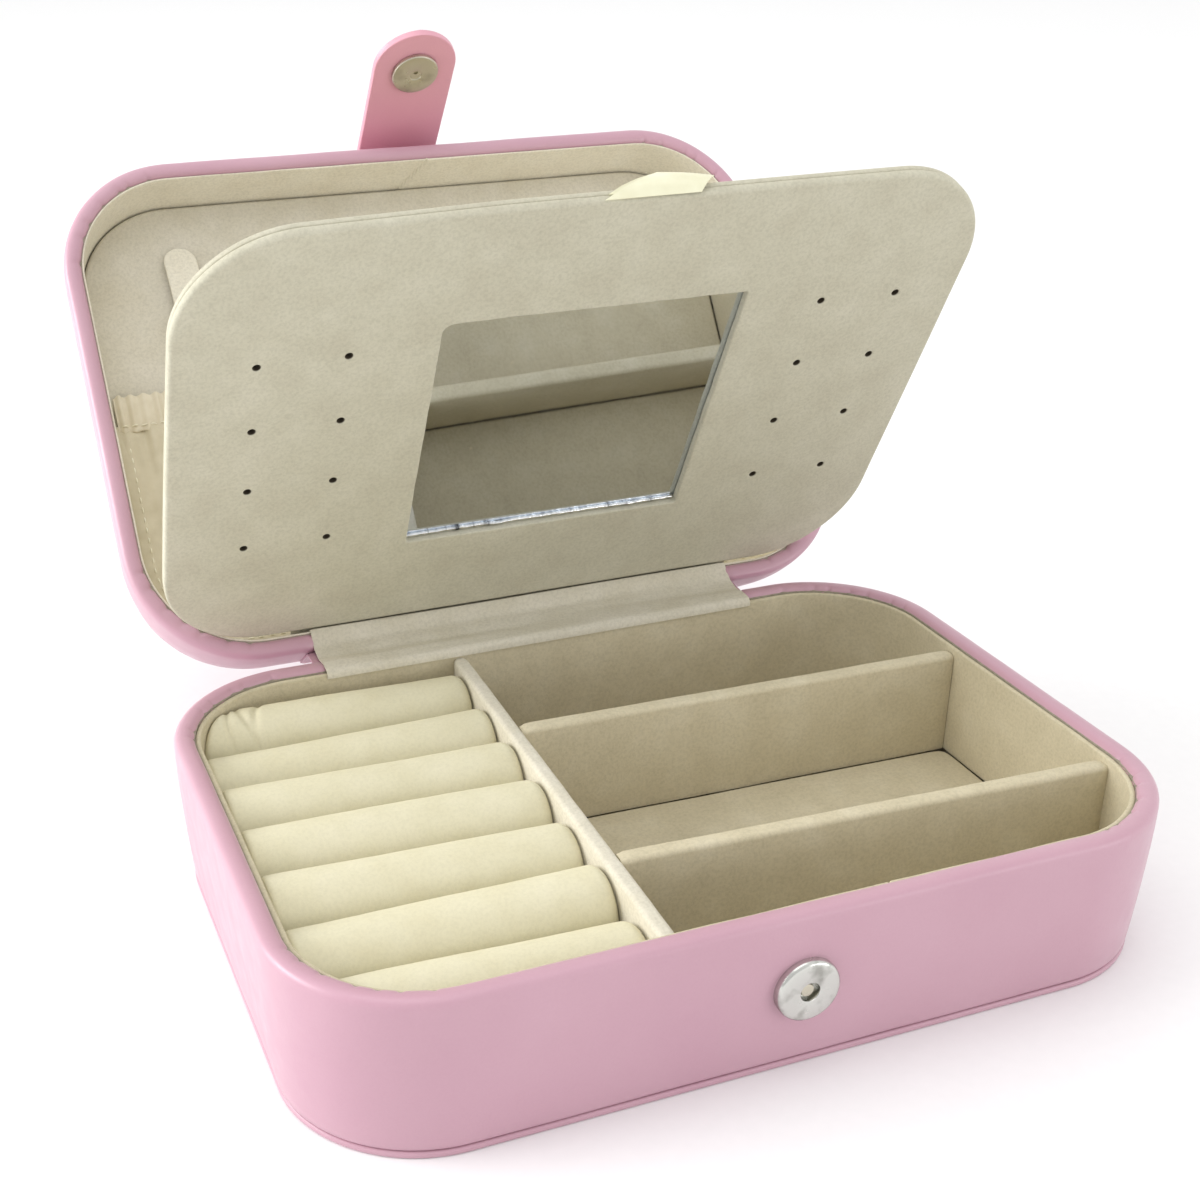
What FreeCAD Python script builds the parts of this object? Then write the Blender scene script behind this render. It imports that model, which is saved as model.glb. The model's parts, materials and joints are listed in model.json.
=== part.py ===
"""Leather jewellery case: lined tray, hinged lid with mirror panel, and a snap tab.

Millimetres. The origin is the middle of the tray's underside, -Y is the snap side, +Y the hinge side, +Z up.
The lid, the mirror panel and the tab are drawn closed, then turned about their own axes into the open rest pose.
"""
import FreeCAD
import Part
import math
import os

V = FreeCAD.Vector
X_AXIS = V(1, 0, 0)
Y_AXIS = V(0, 1, 0)

# Outline of tray and lid: (width, depth, corner radius) at the rims and at the two far faces
RIM = (201.2, 141.2, 32.0)
FOOT = (197.2, 137.2, 30.0)
TRAY_H = 38.0
LID_H = 20.0
RIM_GAP = 0.4
LID_Z0 = TRAY_H + RIM_GAP
LID_Z1 = LID_Z0 + LID_H
LEATHER = 1.2

# Hollows
TRAY_IN = (191.2, 131.2, 27.0)
LID_IN = (191.8, 131.8, 27.3)
TRAY_LINING = 1.2
LID_LINING = 0.5

# Tray floor, walls and dividers
COVER_T = 1.6
BOARD_T = 2.0
FLOOR_Z = 8.4
LINING_TOP = 36.5
DIVIDER_TOP = 34.9
DIVIDER_T = 3.6
CROSS_T = 4.4
LONG_X_REAR = -23.1
LONG_X_FRONT = -25.8
CROSS_Y = {"cross_divider_rear": (24.5, 21.1), "cross_divider_front": (-34.2, -39.3)}

# Ring rolls
ROLLS = 7
ROLL_PITCH = 18.3
ROLL_R = 9.05
ROLL_TOP = 36.0
ROLL_GAP = 0.3

# Snap: discs, rivet and washer
SNAP_X = 1.0
SNAP_Z = 20.5
SNAP_R = 7.0
SNAP_PROUD = 2.6
RIVET_R = 2.0
WASHER_T = 0.8

# Lid hinge: axis, opening angle and the strips either side of it
HINGE_Y = 73.1
HINGE_Z = 37.1
LID_OPEN = 131.0
STRIP_X = 1.0
STRIP_HALF = 59.0
STRAP_HALF = 60.5
STRIP_T = 0.6
STRAP_T = 1.1
KNUCKLE_R = 1.2
RIM_NOTCH = 0.9

# Mirror panel
PANEL = (190.0, 129.8, 26.4)
PANEL_Z = LID_Z0 + 1.35
BOARD_LAYER = 2.0
PANEL_OPEN = 68.5
PANEL_X = 1.0
WINDOW = (73.2, 71.0)
WINDOW_Y = 0.3
GLASS_LAP = 2.0
GLASS_T = 1.6
HOLE_R = 0.9
HOLE_X = (57.3, 77.4)
HOLE_ROWS = (-29.5, -9.85, 9.85, 29.5)

# Lid interior
BACK_T = 1.8
BACK_CLEAR = 0.9
POCKET_T = 1.0
POCKET_OFF = 1.2
POCKET_TOP_Y = 1.0
HEM_H = 10.5
HEM_T = 2.2
KEEPER_X = -69.0
KEEPER_W = 9.0
KEEPER_TOP_Y = -51.6
KEEPER_LEN = 56.0
KEEPER_T = 0.8

# Tab
TAB_W = 21.0
TAB_LAYER = 1.0
TAB_ROOT_Y = -46.0
TAB_AXIS_Z = LID_Z1 + TAB_LAYER
TAB_TILT = 12.0
TAB_END_Z = 6.2
STUD_T = 1.4
STUD_GAP = 0.3
MOVE_GAP = 0.3


def rounded_wire(size, z):
    """Closed rounded-rectangle outline at height z."""
    w, d, r = size
    x, y = w / 2, d / 2
    edges = []
    corners = [(x - r, y - r, 0), (-x + r, y - r, 90), (-x + r, -y + r, 180), (x - r, -y + r, 270)]
    for i, (cx, cy, a) in enumerate(corners):
        p = [V(cx + r * math.cos(math.radians(a + t)), cy + r * math.sin(math.radians(a + t)), z) for t in (0, 45, 90)]
        edges.append(Part.Arc(p[0], p[1], p[2]).toShape())
        nx, ny, na = corners[(i + 1) % 4]
        q = V(nx + r * math.cos(math.radians(na)), ny + r * math.sin(math.radians(na)), z)
        edges.append(Part.LineSegment(p[2], q).toShape())
    return Part.Wire(edges)


def inset(size, t):
    """Outline moved inwards by t on every side."""
    w, d, r = size
    return (w - 2 * t, d - 2 * t, r - t)


def plate(size, z0, z1):
    """Straight-sided rounded-rectangle solid."""
    return Part.Face(rounded_wire(size, z0)).extrude(V(0, 0, z1 - z0))


def taper(size0, z0, size1, z1):
    """Rounded-rectangle solid whose outline changes from size0 to size1."""
    return Part.makeLoft([rounded_wire(size0, z0), rounded_wire(size1, z1)], True, True)


def tray_outline(z, t=0.0):
    """Outer outline of the tray wall at height z, moved inwards by t."""
    k = (z - COVER_T) / (TRAY_H - COVER_T)
    return inset([a + (b - a) * k for a, b in zip(FOOT, RIM)], t)


def lid_outline(z, t=0.0):
    """Outer outline of the closed lid's wall at height z, moved inwards by t."""
    k = (z - LID_Z0) / LID_H
    return inset([a + (b - a) * k for a, b in zip(RIM, FOOT)], t)


def box(x0, x1, y0, y1, z0, z1):
    return Part.makeBox(x1 - x0, y1 - y0, z1 - z0, V(x0, y0, z0))


def rod_x(x0, x1, y, z, r):
    return Part.makeCylinder(r, x1 - x0, V(x0, y, z), X_AXIS)


def rod_y(x, y0, y1, z, r):
    return Part.makeCylinder(r, y1 - y0, V(x, y0, z), Y_AXIS)


def polygon_prism(points, z0, z1):
    ring = [V(x, y, z0) for x, y in points]
    return Part.Face(Part.makePolygon(ring + ring[:1])).extrude(V(0, 0, z1 - z0))


def edges_at(solid, z, tol=0.02):
    """Edges that lie wholly in the plane at height z."""
    found = []
    for e in solid.Edges:
        b = e.BoundBox
        if abs(b.ZMin - z) < tol and abs(b.ZMax - z) < tol:
            found.append(e)
    return found


def long_divider_x(y):
    """Centre line of the long divider, which stands slightly askew."""
    half = TRAY_IN[1] / 2 - TRAY_LINING
    k = (y + half) / (2 * half)
    return LONG_X_FRONT + (LONG_X_REAR - LONG_X_FRONT) * k


def rounded_top(solid, z, r):
    return solid.makeFillet(r, edges_at(solid, z))


def tray_parts():
    parts = {}
    cover = plate(FOOT, 0, COVER_T)
    parts["bottom_cover"] = cover.makeFillet(0.6, edges_at(cover, 0) + edges_at(cover, COVER_T))
    parts["floor_board"] = plate(TRAY_IN, COVER_T, COVER_T + BOARD_T)
    parts["floor_pad"] = plate(TRAY_IN, COVER_T + BOARD_T, FLOOR_Z)

    core_top = TRAY_H - LEATHER
    hollow = plate(TRAY_IN, 0, TRAY_H + 1)
    core = taper(tray_outline(COVER_T, LEATHER), COVER_T, tray_outline(core_top, LEATHER), core_top)
    shell = taper(tray_outline(COVER_T), COVER_T, tray_outline(TRAY_H), TRAY_H)
    shell = rounded_top(shell.cut(hollow), TRAY_H, 1.9)
    wrap = shell.cut(core)
    core = core.cut(hollow)

    front = -tray_outline(SNAP_Z)[1] / 2
    inner = -TRAY_IN[1] / 2
    bore = rod_y(SNAP_X, front - 5, inner + 5, SNAP_Z, RIVET_R)
    seat = rod_y(SNAP_X, inner - WASHER_T, inner, SNAP_Z, SNAP_R)
    notch = box(STRIP_X - STRIP_HALF, STRIP_X + STRIP_HALF, 60, 80, TRAY_H - RIM_NOTCH, TRAY_H + 1)
    parts["tray_wall_core"] = core.cut(bore).cut(seat)
    parts["tray_leather"] = wrap.cut(bore).cut(notch)
    lining = plate(TRAY_IN, FLOOR_Z, LINING_TOP).cut(plate(inset(TRAY_IN, TRAY_LINING), FLOOR_Z, LINING_TOP))
    parts["tray_wall_lining"] = lining

    face = front - SNAP_PROUD
    flat = Part.makeCylinder(SNAP_R, front + 0.4 - face, V(SNAP_X, face, SNAP_Z), Y_AXIS)
    rim = [e for e in flat.Edges if abs(e.BoundBox.YMax - face) < 0.01]
    disc = flat.makeFillet(0.7, rim).cut(taper(tray_outline(COVER_T), COVER_T, tray_outline(TRAY_H), TRAY_H))
    parts["tray_snap_disc"] = disc.cut(rod_y(SNAP_X, face - 1, front + 5, SNAP_Z, RIVET_R))
    stem = rod_y(SNAP_X, face + 0.8, inner - WASHER_T, SNAP_Z, RIVET_R)
    parts["tray_snap_rivet"] = stem.cut(rod_y(SNAP_X, face, face + 2.4, SNAP_Z, 1.1))
    parts["tray_snap_washer"] = rod_y(SNAP_X, inner - WASHER_T, inner, SNAP_Z, SNAP_R - 0.2)
    return parts


def divider_parts():
    parts = {}
    room = TRAY_IN[1] / 2 - TRAY_LINING - 0.1
    ends = [(long_divider_x(y), y) for y in (-room, room)]
    h = DIVIDER_T / 2
    outline = [(ends[0][0] - h, -room), (ends[0][0] + h, -room), (ends[1][0] + h, room), (ends[1][0] - h, room)]
    parts["long_divider"] = rounded_top(polygon_prism(outline, FLOOR_Z, DIVIDER_TOP), DIVIDER_TOP, 1.0)
    wall = TRAY_IN[0] / 2 - TRAY_LINING - 0.1
    for name, (y_left, y_right) in CROSS_Y.items():
        corners = []
        for y in (y_left - CROSS_T / 2, y_left + CROSS_T / 2):
            corners.append((long_divider_x(y) + h + 0.05, y))
        outline = [corners[0], (wall, y_right - CROSS_T / 2), (wall, y_right + CROSS_T / 2), corners[1]]
        divider = rounded_top(polygon_prism(outline, FLOOR_Z, DIVIDER_TOP), DIVIDER_TOP, 1.0)
        parts[name] = divider.common(plate(inset(TRAY_IN, TRAY_LINING + 0.1), FLOOR_Z, TRAY_H))
    return parts


def roll_parts():
    """Soft round-topped strips that stand side by side and hold rings between them."""
    parts = {}
    room = plate(inset(TRAY_IN, TRAY_LINING + 0.1), FLOOR_Z + 0.1, TRAY_H)
    for i in range(ROLLS):
        y = ((ROLLS - 1) / 2 - i) * ROLL_PITCH
        mid = ROLL_TOP - ROLL_R
        left = -TRAY_IN[0] / 2
        right = long_divider_x(y) - DIVIDER_T / 2 - ROLL_GAP - 0.1
        ends = [V(left, y - ROLL_R, mid), V(left, y, ROLL_TOP), V(left, y + ROLL_R, mid)]
        low = [V(left, y + ROLL_R - 1.5, FLOOR_Z), V(left, y - ROLL_R + 1.5, FLOOR_Z)]
        edges = [Part.Arc(ends[0], ends[1], ends[2]).toShape()]
        for a, b in ((ends[2], low[0]), (low[0], low[1]), (low[1], ends[0])):
            edges.append(Part.LineSegment(a, b).toShape())
        roll = Part.Face(Part.Wire(edges)).extrude(V(right - left, 0, 0))
        parts["ring_roll_%d" % (i + 1)] = roll.common(room)
    return parts


def lid_parts():
    parts = {}
    core_z = (LID_Z0 + LEATHER, LID_Z1 - LEATHER)
    hollow = plate(LID_IN, LID_Z0 - 1, core_z[1])
    core = taper(lid_outline(core_z[0], LEATHER), core_z[0], lid_outline(core_z[1], LEATHER), core_z[1])
    shell = taper(lid_outline(LID_Z0), LID_Z0, lid_outline(LID_Z1), LID_Z1)
    shell = shell.makeFillet(2.4, edges_at(shell, LID_Z1)).cut(hollow)
    shell = shell.makeFillet(1.9, edges_at(shell, LID_Z0))
    notch = box(STRIP_X - STRIP_HALF, STRIP_X + STRIP_HALF, 60, 80, LID_Z0 - 1, LID_Z0 + RIM_NOTCH)
    parts["lid_leather"] = shell.cut(core).cut(notch)
    parts["lid_wall_core"] = core.cut(plate(LID_IN, core_z[0], core_z[1]))
    board_z = core_z[1] - BOARD_T
    parts["lid_board"] = plate(LID_IN, board_z, core_z[1])
    band = plate(LID_IN, core_z[0], board_z)
    parts["lid_wall_lining"] = band.cut(plate(inset(LID_IN, LID_LINING), core_z[0], board_z))
    back_z = board_z - BACK_T
    back = plate(inset(LID_IN, BACK_CLEAR), back_z, board_z)
    parts["lid_back_panel"] = back.makeFillet(0.8, edges_at(back, back_z))

    pocket_z = back_z - POCKET_OFF
    pocket = plate(inset(LID_IN, BACK_CLEAR + 0.5), pocket_z - POCKET_T, pocket_z)
    parts["lid_pocket"] = pocket.common(box(-100, 100, POCKET_TOP_Y, 80, 0, 80))
    hem_x = LID_IN[0] / 2 - BACK_CLEAR - 1.2
    hem = box(-hem_x, hem_x, POCKET_TOP_Y - HEM_H, POCKET_TOP_Y, pocket_z - HEM_T, pocket_z)
    long_edges = [e for e in hem.Edges if e.BoundBox.XLength > 1]
    parts["lid_pocket_hem"] = hem.makeFillet(0.9, long_edges)

    r = KEEPER_W / 2
    strap = box(KEEPER_X - r, KEEPER_X + r, KEEPER_TOP_Y + r, KEEPER_TOP_Y + KEEPER_LEN, back_z - KEEPER_T, back_z)
    end = Part.makeCylinder(r, KEEPER_T, V(KEEPER_X, KEEPER_TOP_Y + r, back_z - KEEPER_T))
    parts["necklace_keeper"] = strap.fuse(end).removeSplitter()
    return parts


def hinge_parts():
    tray, lid = {}, {}
    x0, x1 = STRIP_X - STRAP_HALF, STRIP_X + STRAP_HALF
    low, high = 16.0, HINGE_Z + 0.4
    skin = taper(tray_outline(low, -STRAP_T), low, tray_outline(high, -STRAP_T), high)
    skin = skin.cut(taper(tray_outline(low), low, tray_outline(high), high))
    leaf = skin.common(box(x0, x1, 60, 90, low, high))
    wall = tray_outline(HINGE_Z)[1] / 2
    web = box(x0, x1, wall + 0.5, HINGE_Y, HINGE_Z - 0.6, HINGE_Z + 0.4)
    knuckle = rod_x(x0, x1, HINGE_Y, HINGE_Z, KNUCKLE_R)
    tray["tray_hinge_leather"] = leaf.fuse([web, knuckle]).removeSplitter()

    low, high = LID_Z0 + 2.2, LID_Z0 + 13.0
    skin = taper(lid_outline(low, -STRAP_T), low, lid_outline(high, -STRAP_T), high)
    skin = skin.cut(taper(lid_outline(low), low, lid_outline(high), high))
    lid["lid_hinge_leather"] = skin.common(box(x0, x1, 60, 90, low, high))

    x0, x1 = STRIP_X - STRIP_HALF + 0.1, STRIP_X + STRIP_HALF - 0.1
    y_in, y_out = TRAY_IN[1] / 2 - TRAY_LINING, RIM[1] / 2 - 0.6
    seat = TRAY_H - RIM_NOTCH
    drop = box(x0, x1, y_in - STRIP_T, y_in, seat - 1.8, seat + STRIP_T)
    lap = box(x0, x1, y_in - STRIP_T, y_out, seat, seat + STRIP_T)
    tray["tray_hinge_lining"] = drop.fuse(lap).removeSplitter()
    seat = LID_Z0 + RIM_NOTCH
    lid["lid_hinge_lining"] = box(x0, x1, LID_IN[1] / 2 - LID_LINING, y_out, seat - STRIP_T, seat)
    return tray, lid


def panel_parts():
    parts = {}
    z0, z1, z2 = PANEL_Z, PANEL_Z + BOARD_LAYER, PANEL_Z + 2 * BOARD_LAYER
    holes = []
    for side in (-1, 1):
        for hx in HOLE_X:
            for hy in HOLE_ROWS:
                holes.append(Part.makeCylinder(HOLE_R, 10, V(PANEL_X + side * hx, hy - 0.4, z0 - 3)))
    half_w, half_h = WINDOW[0] / 2, WINDOW[1] / 2
    window = box(PANEL_X - half_w, PANEL_X + half_w, WINDOW_Y - half_h, WINDOW_Y + half_h, z0 - 1, z1 + 1)
    front = plate(PANEL, z0, z1)
    front = front.makeFillet(0.9, edges_at(front, z0))
    parts["panel_front"] = front.cut(window).cut(Part.makeCompound(holes))
    lap = GLASS_LAP
    glass = box(PANEL_X - half_w - lap, PANEL_X + half_w + lap, WINDOW_Y - half_h - lap, WINDOW_Y + half_h + lap,
                z1, z1 + GLASS_T)
    back = plate(inset(PANEL, 0.5), z1, z2)
    back = back.makeFillet(0.7, edges_at(back, z2))
    parts["panel_back"] = back.cut(glass).cut(Part.makeCompound(holes))
    parts["mirror_glass"] = glass
    y_front = -PANEL[1] / 2
    loop = box(PANEL_X - 4.5, PANEL_X + 15.5, y_front + 0.9, y_front + 2.1, z2, z2 + 8.0)
    tip = [e for e in loop.Edges if e.BoundBox.ZMin > z2 + 7.9 and e.BoundBox.XLength > 1]
    parts["ribbon_pull"] = loop.makeFillet(0.5, tip)
    parts["panel_hinge_tape"] = box(-62, 62, PANEL[1] / 2 - 12, PANEL[1] / 2 - 1.5, z2, z2 + STRIP_T)
    return parts


def tab_outline(y, z_top, z_end, thickness):
    """Upright strap with a rounded lower end, its face at y and its back at y - thickness."""
    r = TAB_W / 2
    strap = box(SNAP_X - r, SNAP_X + r, y - thickness, y, z_end + r, z_top)
    end = rod_y(SNAP_X, y - thickness, y, z_end + r, r)
    return strap.fuse(end).removeSplitter()


def tab_parts():
    lid, tab = {}, {}
    disc_face = -tray_outline(SNAP_Z)[1] / 2 - SNAP_PROUD
    stud_y = disc_face - STUD_GAP
    inner_y = stud_y - STUD_T
    axis_y = inner_y - TAB_LAYER
    r = TAB_W / 2
    root = box(SNAP_X - r, SNAP_X + r, axis_y, TAB_ROOT_Y, LID_Z1, LID_Z1 + 2 * TAB_LAYER)
    barrel = rod_x(SNAP_X - r - 1, SNAP_X + r + 1, axis_y, TAB_AXIS_Z, TAB_LAYER + MOVE_GAP)
    lid["tab_root"] = root.cut(barrel)

    knuckle = rod_x(SNAP_X - r, SNAP_X + r, axis_y, TAB_AXIS_Z, TAB_LAYER)
    outer = tab_outline(axis_y, TAB_AXIS_Z, TAB_END_Z, TAB_LAYER).fuse(knuckle).removeSplitter()
    inner = tab_outline(inner_y, TAB_AXIS_Z - 6.0, TAB_END_Z, TAB_LAYER)
    tab["tab_outer_leather"] = outer.cut(inner)
    tab["tab_inner_leather"] = inner
    stud = Part.makeCylinder(SNAP_R, STUD_T, V(SNAP_X, stud_y, SNAP_Z), V(0, -1, 0))
    face = [e for e in stud.Edges if abs(e.BoundBox.YMin - stud_y) < 0.01]
    stud = stud.makeFillet(0.5, face)
    tab["tab_snap_disc"] = stud.cut(rod_y(SNAP_X, inner_y, stud_y + 1, SNAP_Z, RIVET_R))
    post = rod_y(SNAP_X, inner_y, stud_y - 0.4, SNAP_Z, RIVET_R)
    tab["tab_snap_rivet"] = post.cut(rod_y(SNAP_X, inner_y + 0.3, stud_y, SNAP_Z, 1.1))
    return lid, tab, (axis_y, TAB_AXIS_Z)


def turned(shape, y, z, angle):
    """Copy turned about the X-parallel axis through (y, z)."""
    out = shape.copy()
    out.rotate(V(0, y, z), X_AXIS, angle)
    return out


def build():
    parts = {}
    parts.update(tray_parts())
    parts.update(divider_parts())
    parts.update(roll_parts())
    tray_hinge, lid_hinge = hinge_parts()
    parts.update(tray_hinge)

    tab_on_lid, tab, tab_axis = tab_parts()
    lid = lid_parts()
    lid.update(lid_hinge)
    lid.update(tab_on_lid)
    panel = {}
    for name, shape in panel_parts().items():
        panel[name] = turned(shape, PANEL[1] / 2, PANEL_Z, PANEL_OPEN)
    tilted = {}
    for name, shape in tab.items():
        tilted[name] = turned(shape, tab_axis[0], tab_axis[1], -TAB_TILT)
    for group in (lid, panel, tilted):
        for name, shape in group.items():
            parts[name] = turned(shape, HINGE_Y, HINGE_Z, -LID_OPEN)
    return parts, tab_axis


def open_point(y, z):
    """Where a point of the closed lid lies once the lid is open."""
    a = math.radians(-LID_OPEN)
    dy, dz = y - HINGE_Y, z - HINGE_Z
    return (HINGE_Y + dy * math.cos(a) - dz * math.sin(a), HINGE_Z + dy * math.sin(a) + dz * math.cos(a))


os.makedirs("parts", exist_ok=True)
PARTS, TAB_AXIS = build()
for NAME, SHAPE in sorted(PARTS.items()):
    solids = SHAPE.Solids
    if len(solids) != 1 or not SHAPE.isValid():
        raise RuntimeError("%s: %d solids, valid %s" % (NAME, len(solids), SHAPE.isValid()))
    solids[0].exportStep("parts/%s.step" % NAME)
    print("%-22s %9.1f mm3" % (NAME, solids[0].Volume))
print("lid axis    y %.3f z %.3f" % (HINGE_Y, HINGE_Z))
print("panel axis  y %.3f z %.3f" % open_point(PANEL[1] / 2, PANEL_Z))
print("tab axis    y %.3f z %.3f" % open_point(*TAB_AXIS))
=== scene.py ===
"""Looks of the leather jewellery case: soft goods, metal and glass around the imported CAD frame.

Pieces are drawn in millimetres with the lid closed, then carried to the rest pose by the joints' own turns.
"""

import bmesh
import bpy
import json
import numpy as np
from math import copysign, cos, exp, pi, radians, sin, sqrt
from mathutils import Matrix, Vector, geometry, noise


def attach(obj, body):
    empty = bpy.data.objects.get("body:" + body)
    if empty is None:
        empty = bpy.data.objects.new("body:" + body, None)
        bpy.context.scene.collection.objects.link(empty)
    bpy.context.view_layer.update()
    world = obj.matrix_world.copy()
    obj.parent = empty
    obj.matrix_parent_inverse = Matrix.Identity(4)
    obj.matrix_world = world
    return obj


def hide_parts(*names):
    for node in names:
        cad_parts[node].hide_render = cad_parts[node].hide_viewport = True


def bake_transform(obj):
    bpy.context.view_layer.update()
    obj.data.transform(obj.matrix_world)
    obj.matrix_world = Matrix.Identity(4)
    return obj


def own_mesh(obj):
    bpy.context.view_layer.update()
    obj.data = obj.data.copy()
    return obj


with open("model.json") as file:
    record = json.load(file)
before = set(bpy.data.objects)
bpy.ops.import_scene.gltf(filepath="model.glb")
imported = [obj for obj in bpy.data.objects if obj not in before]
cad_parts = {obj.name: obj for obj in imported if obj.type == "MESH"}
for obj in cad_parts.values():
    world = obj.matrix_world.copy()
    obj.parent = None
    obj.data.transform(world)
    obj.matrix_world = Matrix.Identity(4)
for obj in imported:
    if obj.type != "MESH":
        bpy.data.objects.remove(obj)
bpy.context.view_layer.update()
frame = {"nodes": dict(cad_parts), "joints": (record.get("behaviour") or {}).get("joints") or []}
JOINTS = {j["name"]: j for j in frame["joints"]}
MM = 0.001


# ---- closed pose and rest pose

def about_x(point, degrees):
    """Turn about the X-parallel line through a point in millimetres."""
    there = Matrix.Translation(point)
    return there @ Matrix.Rotation(radians(degrees), 4, "X") @ there.inverted()


def pivot(joint):
    return Vector(JOINTS[joint]["pos_m"]) / MM


TRAY = Matrix.Identity(4)
LID = about_x(pivot("lid_hinge"), -JOINTS["lid_hinge"]["range_deg"][1])
PANEL = LID @ about_x(LID.inverted() @ pivot("panel_hinge"), -JOINTS["panel_hinge"]["range_deg"][0])
TAB = LID @ about_x(LID.inverted() @ pivot("tab_hinge"), -JOINTS["tab_hinge"]["range_deg"][1])
LID_AXIS = pivot("lid_hinge")
TAB_AXIS = LID.inverted() @ pivot("tab_hinge")


def moved(points, where):
    """Closed-pose millimetre points after a turn, still in millimetres."""
    m = np.array(where)
    return np.asarray(points, float) @ m[:3, :3].T + m[:3, 3]


def span(node, where=TRAY):
    """Lowest and highest corner of a CAD node in closed-pose millimetres."""
    co = np.array([v.co for v in frame["nodes"][node].data.vertices], float) / MM
    p = moved(co, where.inverted())
    return p.min(0), p.max(0)


# ---- mesh helpers

def finish_mesh(name, verts, faces, where=TRAY, sharp=42.0):
    """Smooth-shaded mesh object from closed-pose millimetre points."""
    mesh = bpy.data.meshes.new(name)
    mesh.from_pydata((moved(verts, where) * MM).tolist(), [], faces)
    bm = bmesh.new()
    bm.from_mesh(mesh)
    bmesh.ops.remove_doubles(bm, verts=bm.verts, dist=2e-7)
    bmesh.ops.recalc_face_normals(bm, faces=bm.faces)
    bm.to_mesh(mesh)
    bm.free()
    mesh.polygons.foreach_set("use_smooth", [True] * len(mesh.polygons))
    mesh.set_sharp_from_angle(angle=radians(sharp))
    obj = bpy.data.objects.new(name, mesh)
    bpy.context.scene.collection.objects.link(obj)
    return obj


def grid_faces(rows, cols, wrap_rows=False, wrap_cols=False, start=0):
    faces = []
    for i in range(rows if wrap_rows else rows - 1):
        for j in range(cols if wrap_cols else cols - 1):
            a, b, k = i * cols, ((i + 1) % rows) * cols, (j + 1) % cols
            faces.append((start + a + j, start + a + k, start + b + k, start + b + j))
    return faces


def loft(name, rings, where=TRAY, tube=False, caps=False, sharp=42.0):
    """Closed rings joined in order; tube joins the last to the first, caps close both ends."""
    rings = np.asarray(rings, float)
    rows, cols = rings.shape[:2]
    faces = grid_faces(rows, cols, wrap_rows=tube, wrap_cols=True)
    if caps:
        faces += [tuple(range(cols)), tuple(range((rows - 1) * cols, rows * cols))]
    return finish_mesh(name, rings.reshape(-1, 3), faces, where, sharp)


def slab(name, front, back, where=TRAY, sharp=42.0):
    """Thin closed piece between two grids of the same size."""
    front, back = np.asarray(front, float), np.asarray(back, float)
    rows, cols = front.shape[:2]
    n = rows * cols
    faces = grid_faces(rows, cols) + grid_faces(rows, cols, start=n)
    border = [(0, j) for j in range(cols)] + [(i, cols - 1) for i in range(1, rows)]
    border += [(rows - 1, j) for j in range(cols - 2, -1, -1)] + [(i, 0) for i in range(rows - 2, 0, -1)]
    ids = [i * cols + j for i, j in border]
    faces += [(a, b, b + n, a + n) for a, b in zip(ids, ids[1:] + ids[:1])]
    return finish_mesh(name, np.concatenate([front.reshape(-1, 3), back.reshape(-1, 3)]), faces, where, sharp)


def place(obj, body, look, replaced=()):
    """Material, replaced nodes and body of one piece."""
    obj.data.materials.clear()
    obj.data.materials.append(look)
    if replaced:
        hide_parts(*replaced)
    if body:
        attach(obj, body)
    return obj


def smooth(t):
    t = np.clip(t, 0.0, 1.0)
    return t * t * (3 - 2 * t)


def arc(start, end, n):
    """Angles in radians, evenly spaced from start to end degrees."""
    return np.radians(np.linspace(start, end, n))


def circle(n):
    return np.linspace(0, 2 * pi, n, endpoint=False)


def unit(rows):
    """Vectors scaled to length 1."""
    return rows / np.linalg.norm(rows, axis=-1)[..., None]


def relax(rows, times):
    """Soften a line in place, with its ends kept."""
    for _ in range(times):
        rows[1:-1] = (rows[:-2] + 2 * rows[1:-1] + rows[2:]) / 4


def run_length(pos):
    return np.concatenate([[0], np.cumsum(np.linalg.norm(np.diff(pos, axis=0), axis=1))])


def along(at, s, points):
    """Points of a polyline at the run lengths at; s is the run length of each of its corners."""
    return np.column_stack([np.interp(at, s, row) for row in np.asarray(points).T])


def squared(value, power):
    """A sine or cosine pushed towards 1 or -1, for a squarer section."""
    return copysign(abs(value) ** power, value)


def on_x(x):
    """Points on the X axis, for noise along a line."""
    return np.column_stack([x, x * 0, x * 0])


def wobble(points, size, seed):
    """Smooth noise from -1 to 1 at each point; size is its length in millimetres."""
    shift = Vector((seed * 13.7, seed * 7.1, seed * 3.3))
    flat = np.asarray(points, float).reshape(-1, 3) / size
    values = np.array([noise.noise(Vector(p) + shift) for p in flat])
    return values.reshape(np.asarray(points).shape[:-1])


def dents(s, places, widths):
    """Narrow grooves across a run: 1 at each place, falling to 0 over its width."""
    s = np.asarray(s, float)
    out = np.zeros_like(s)
    for p, w in zip(places, widths):
        out = np.maximum(out, np.exp(-((s - p) / w) ** 2))
    return out


def outline(width, depth, radius, step=1.6, turn=30):
    """Points and outward normals round a rounded rectangle."""
    x, y = width / 2 - radius, depth / 2 - radius
    corners = [(x, y, 0), (-x, y, 90), (-x, -y, 180), (x, -y, 270)]
    pos, nrm = [], []
    for (cx, cy, a), (nx, ny, _) in zip(corners, corners[1:] + corners[:1]):
        for t in arc(a, a + 90, turn):
            nrm.append((cos(t), sin(t)))
            pos.append((cx + radius * nrm[-1][0], cy + radius * nrm[-1][1]))
        d, p = nrm[-1], Vector(pos[-1])
        q = Vector((nx + radius * d[0], ny + radius * d[1]))
        n = max(1, int((q - p).length / step))
        for k in range(1, n):
            pos.append(tuple(p.lerp(q, k / n)))
            nrm.append(d)
    return np.array(pos), np.array(nrm)


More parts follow.
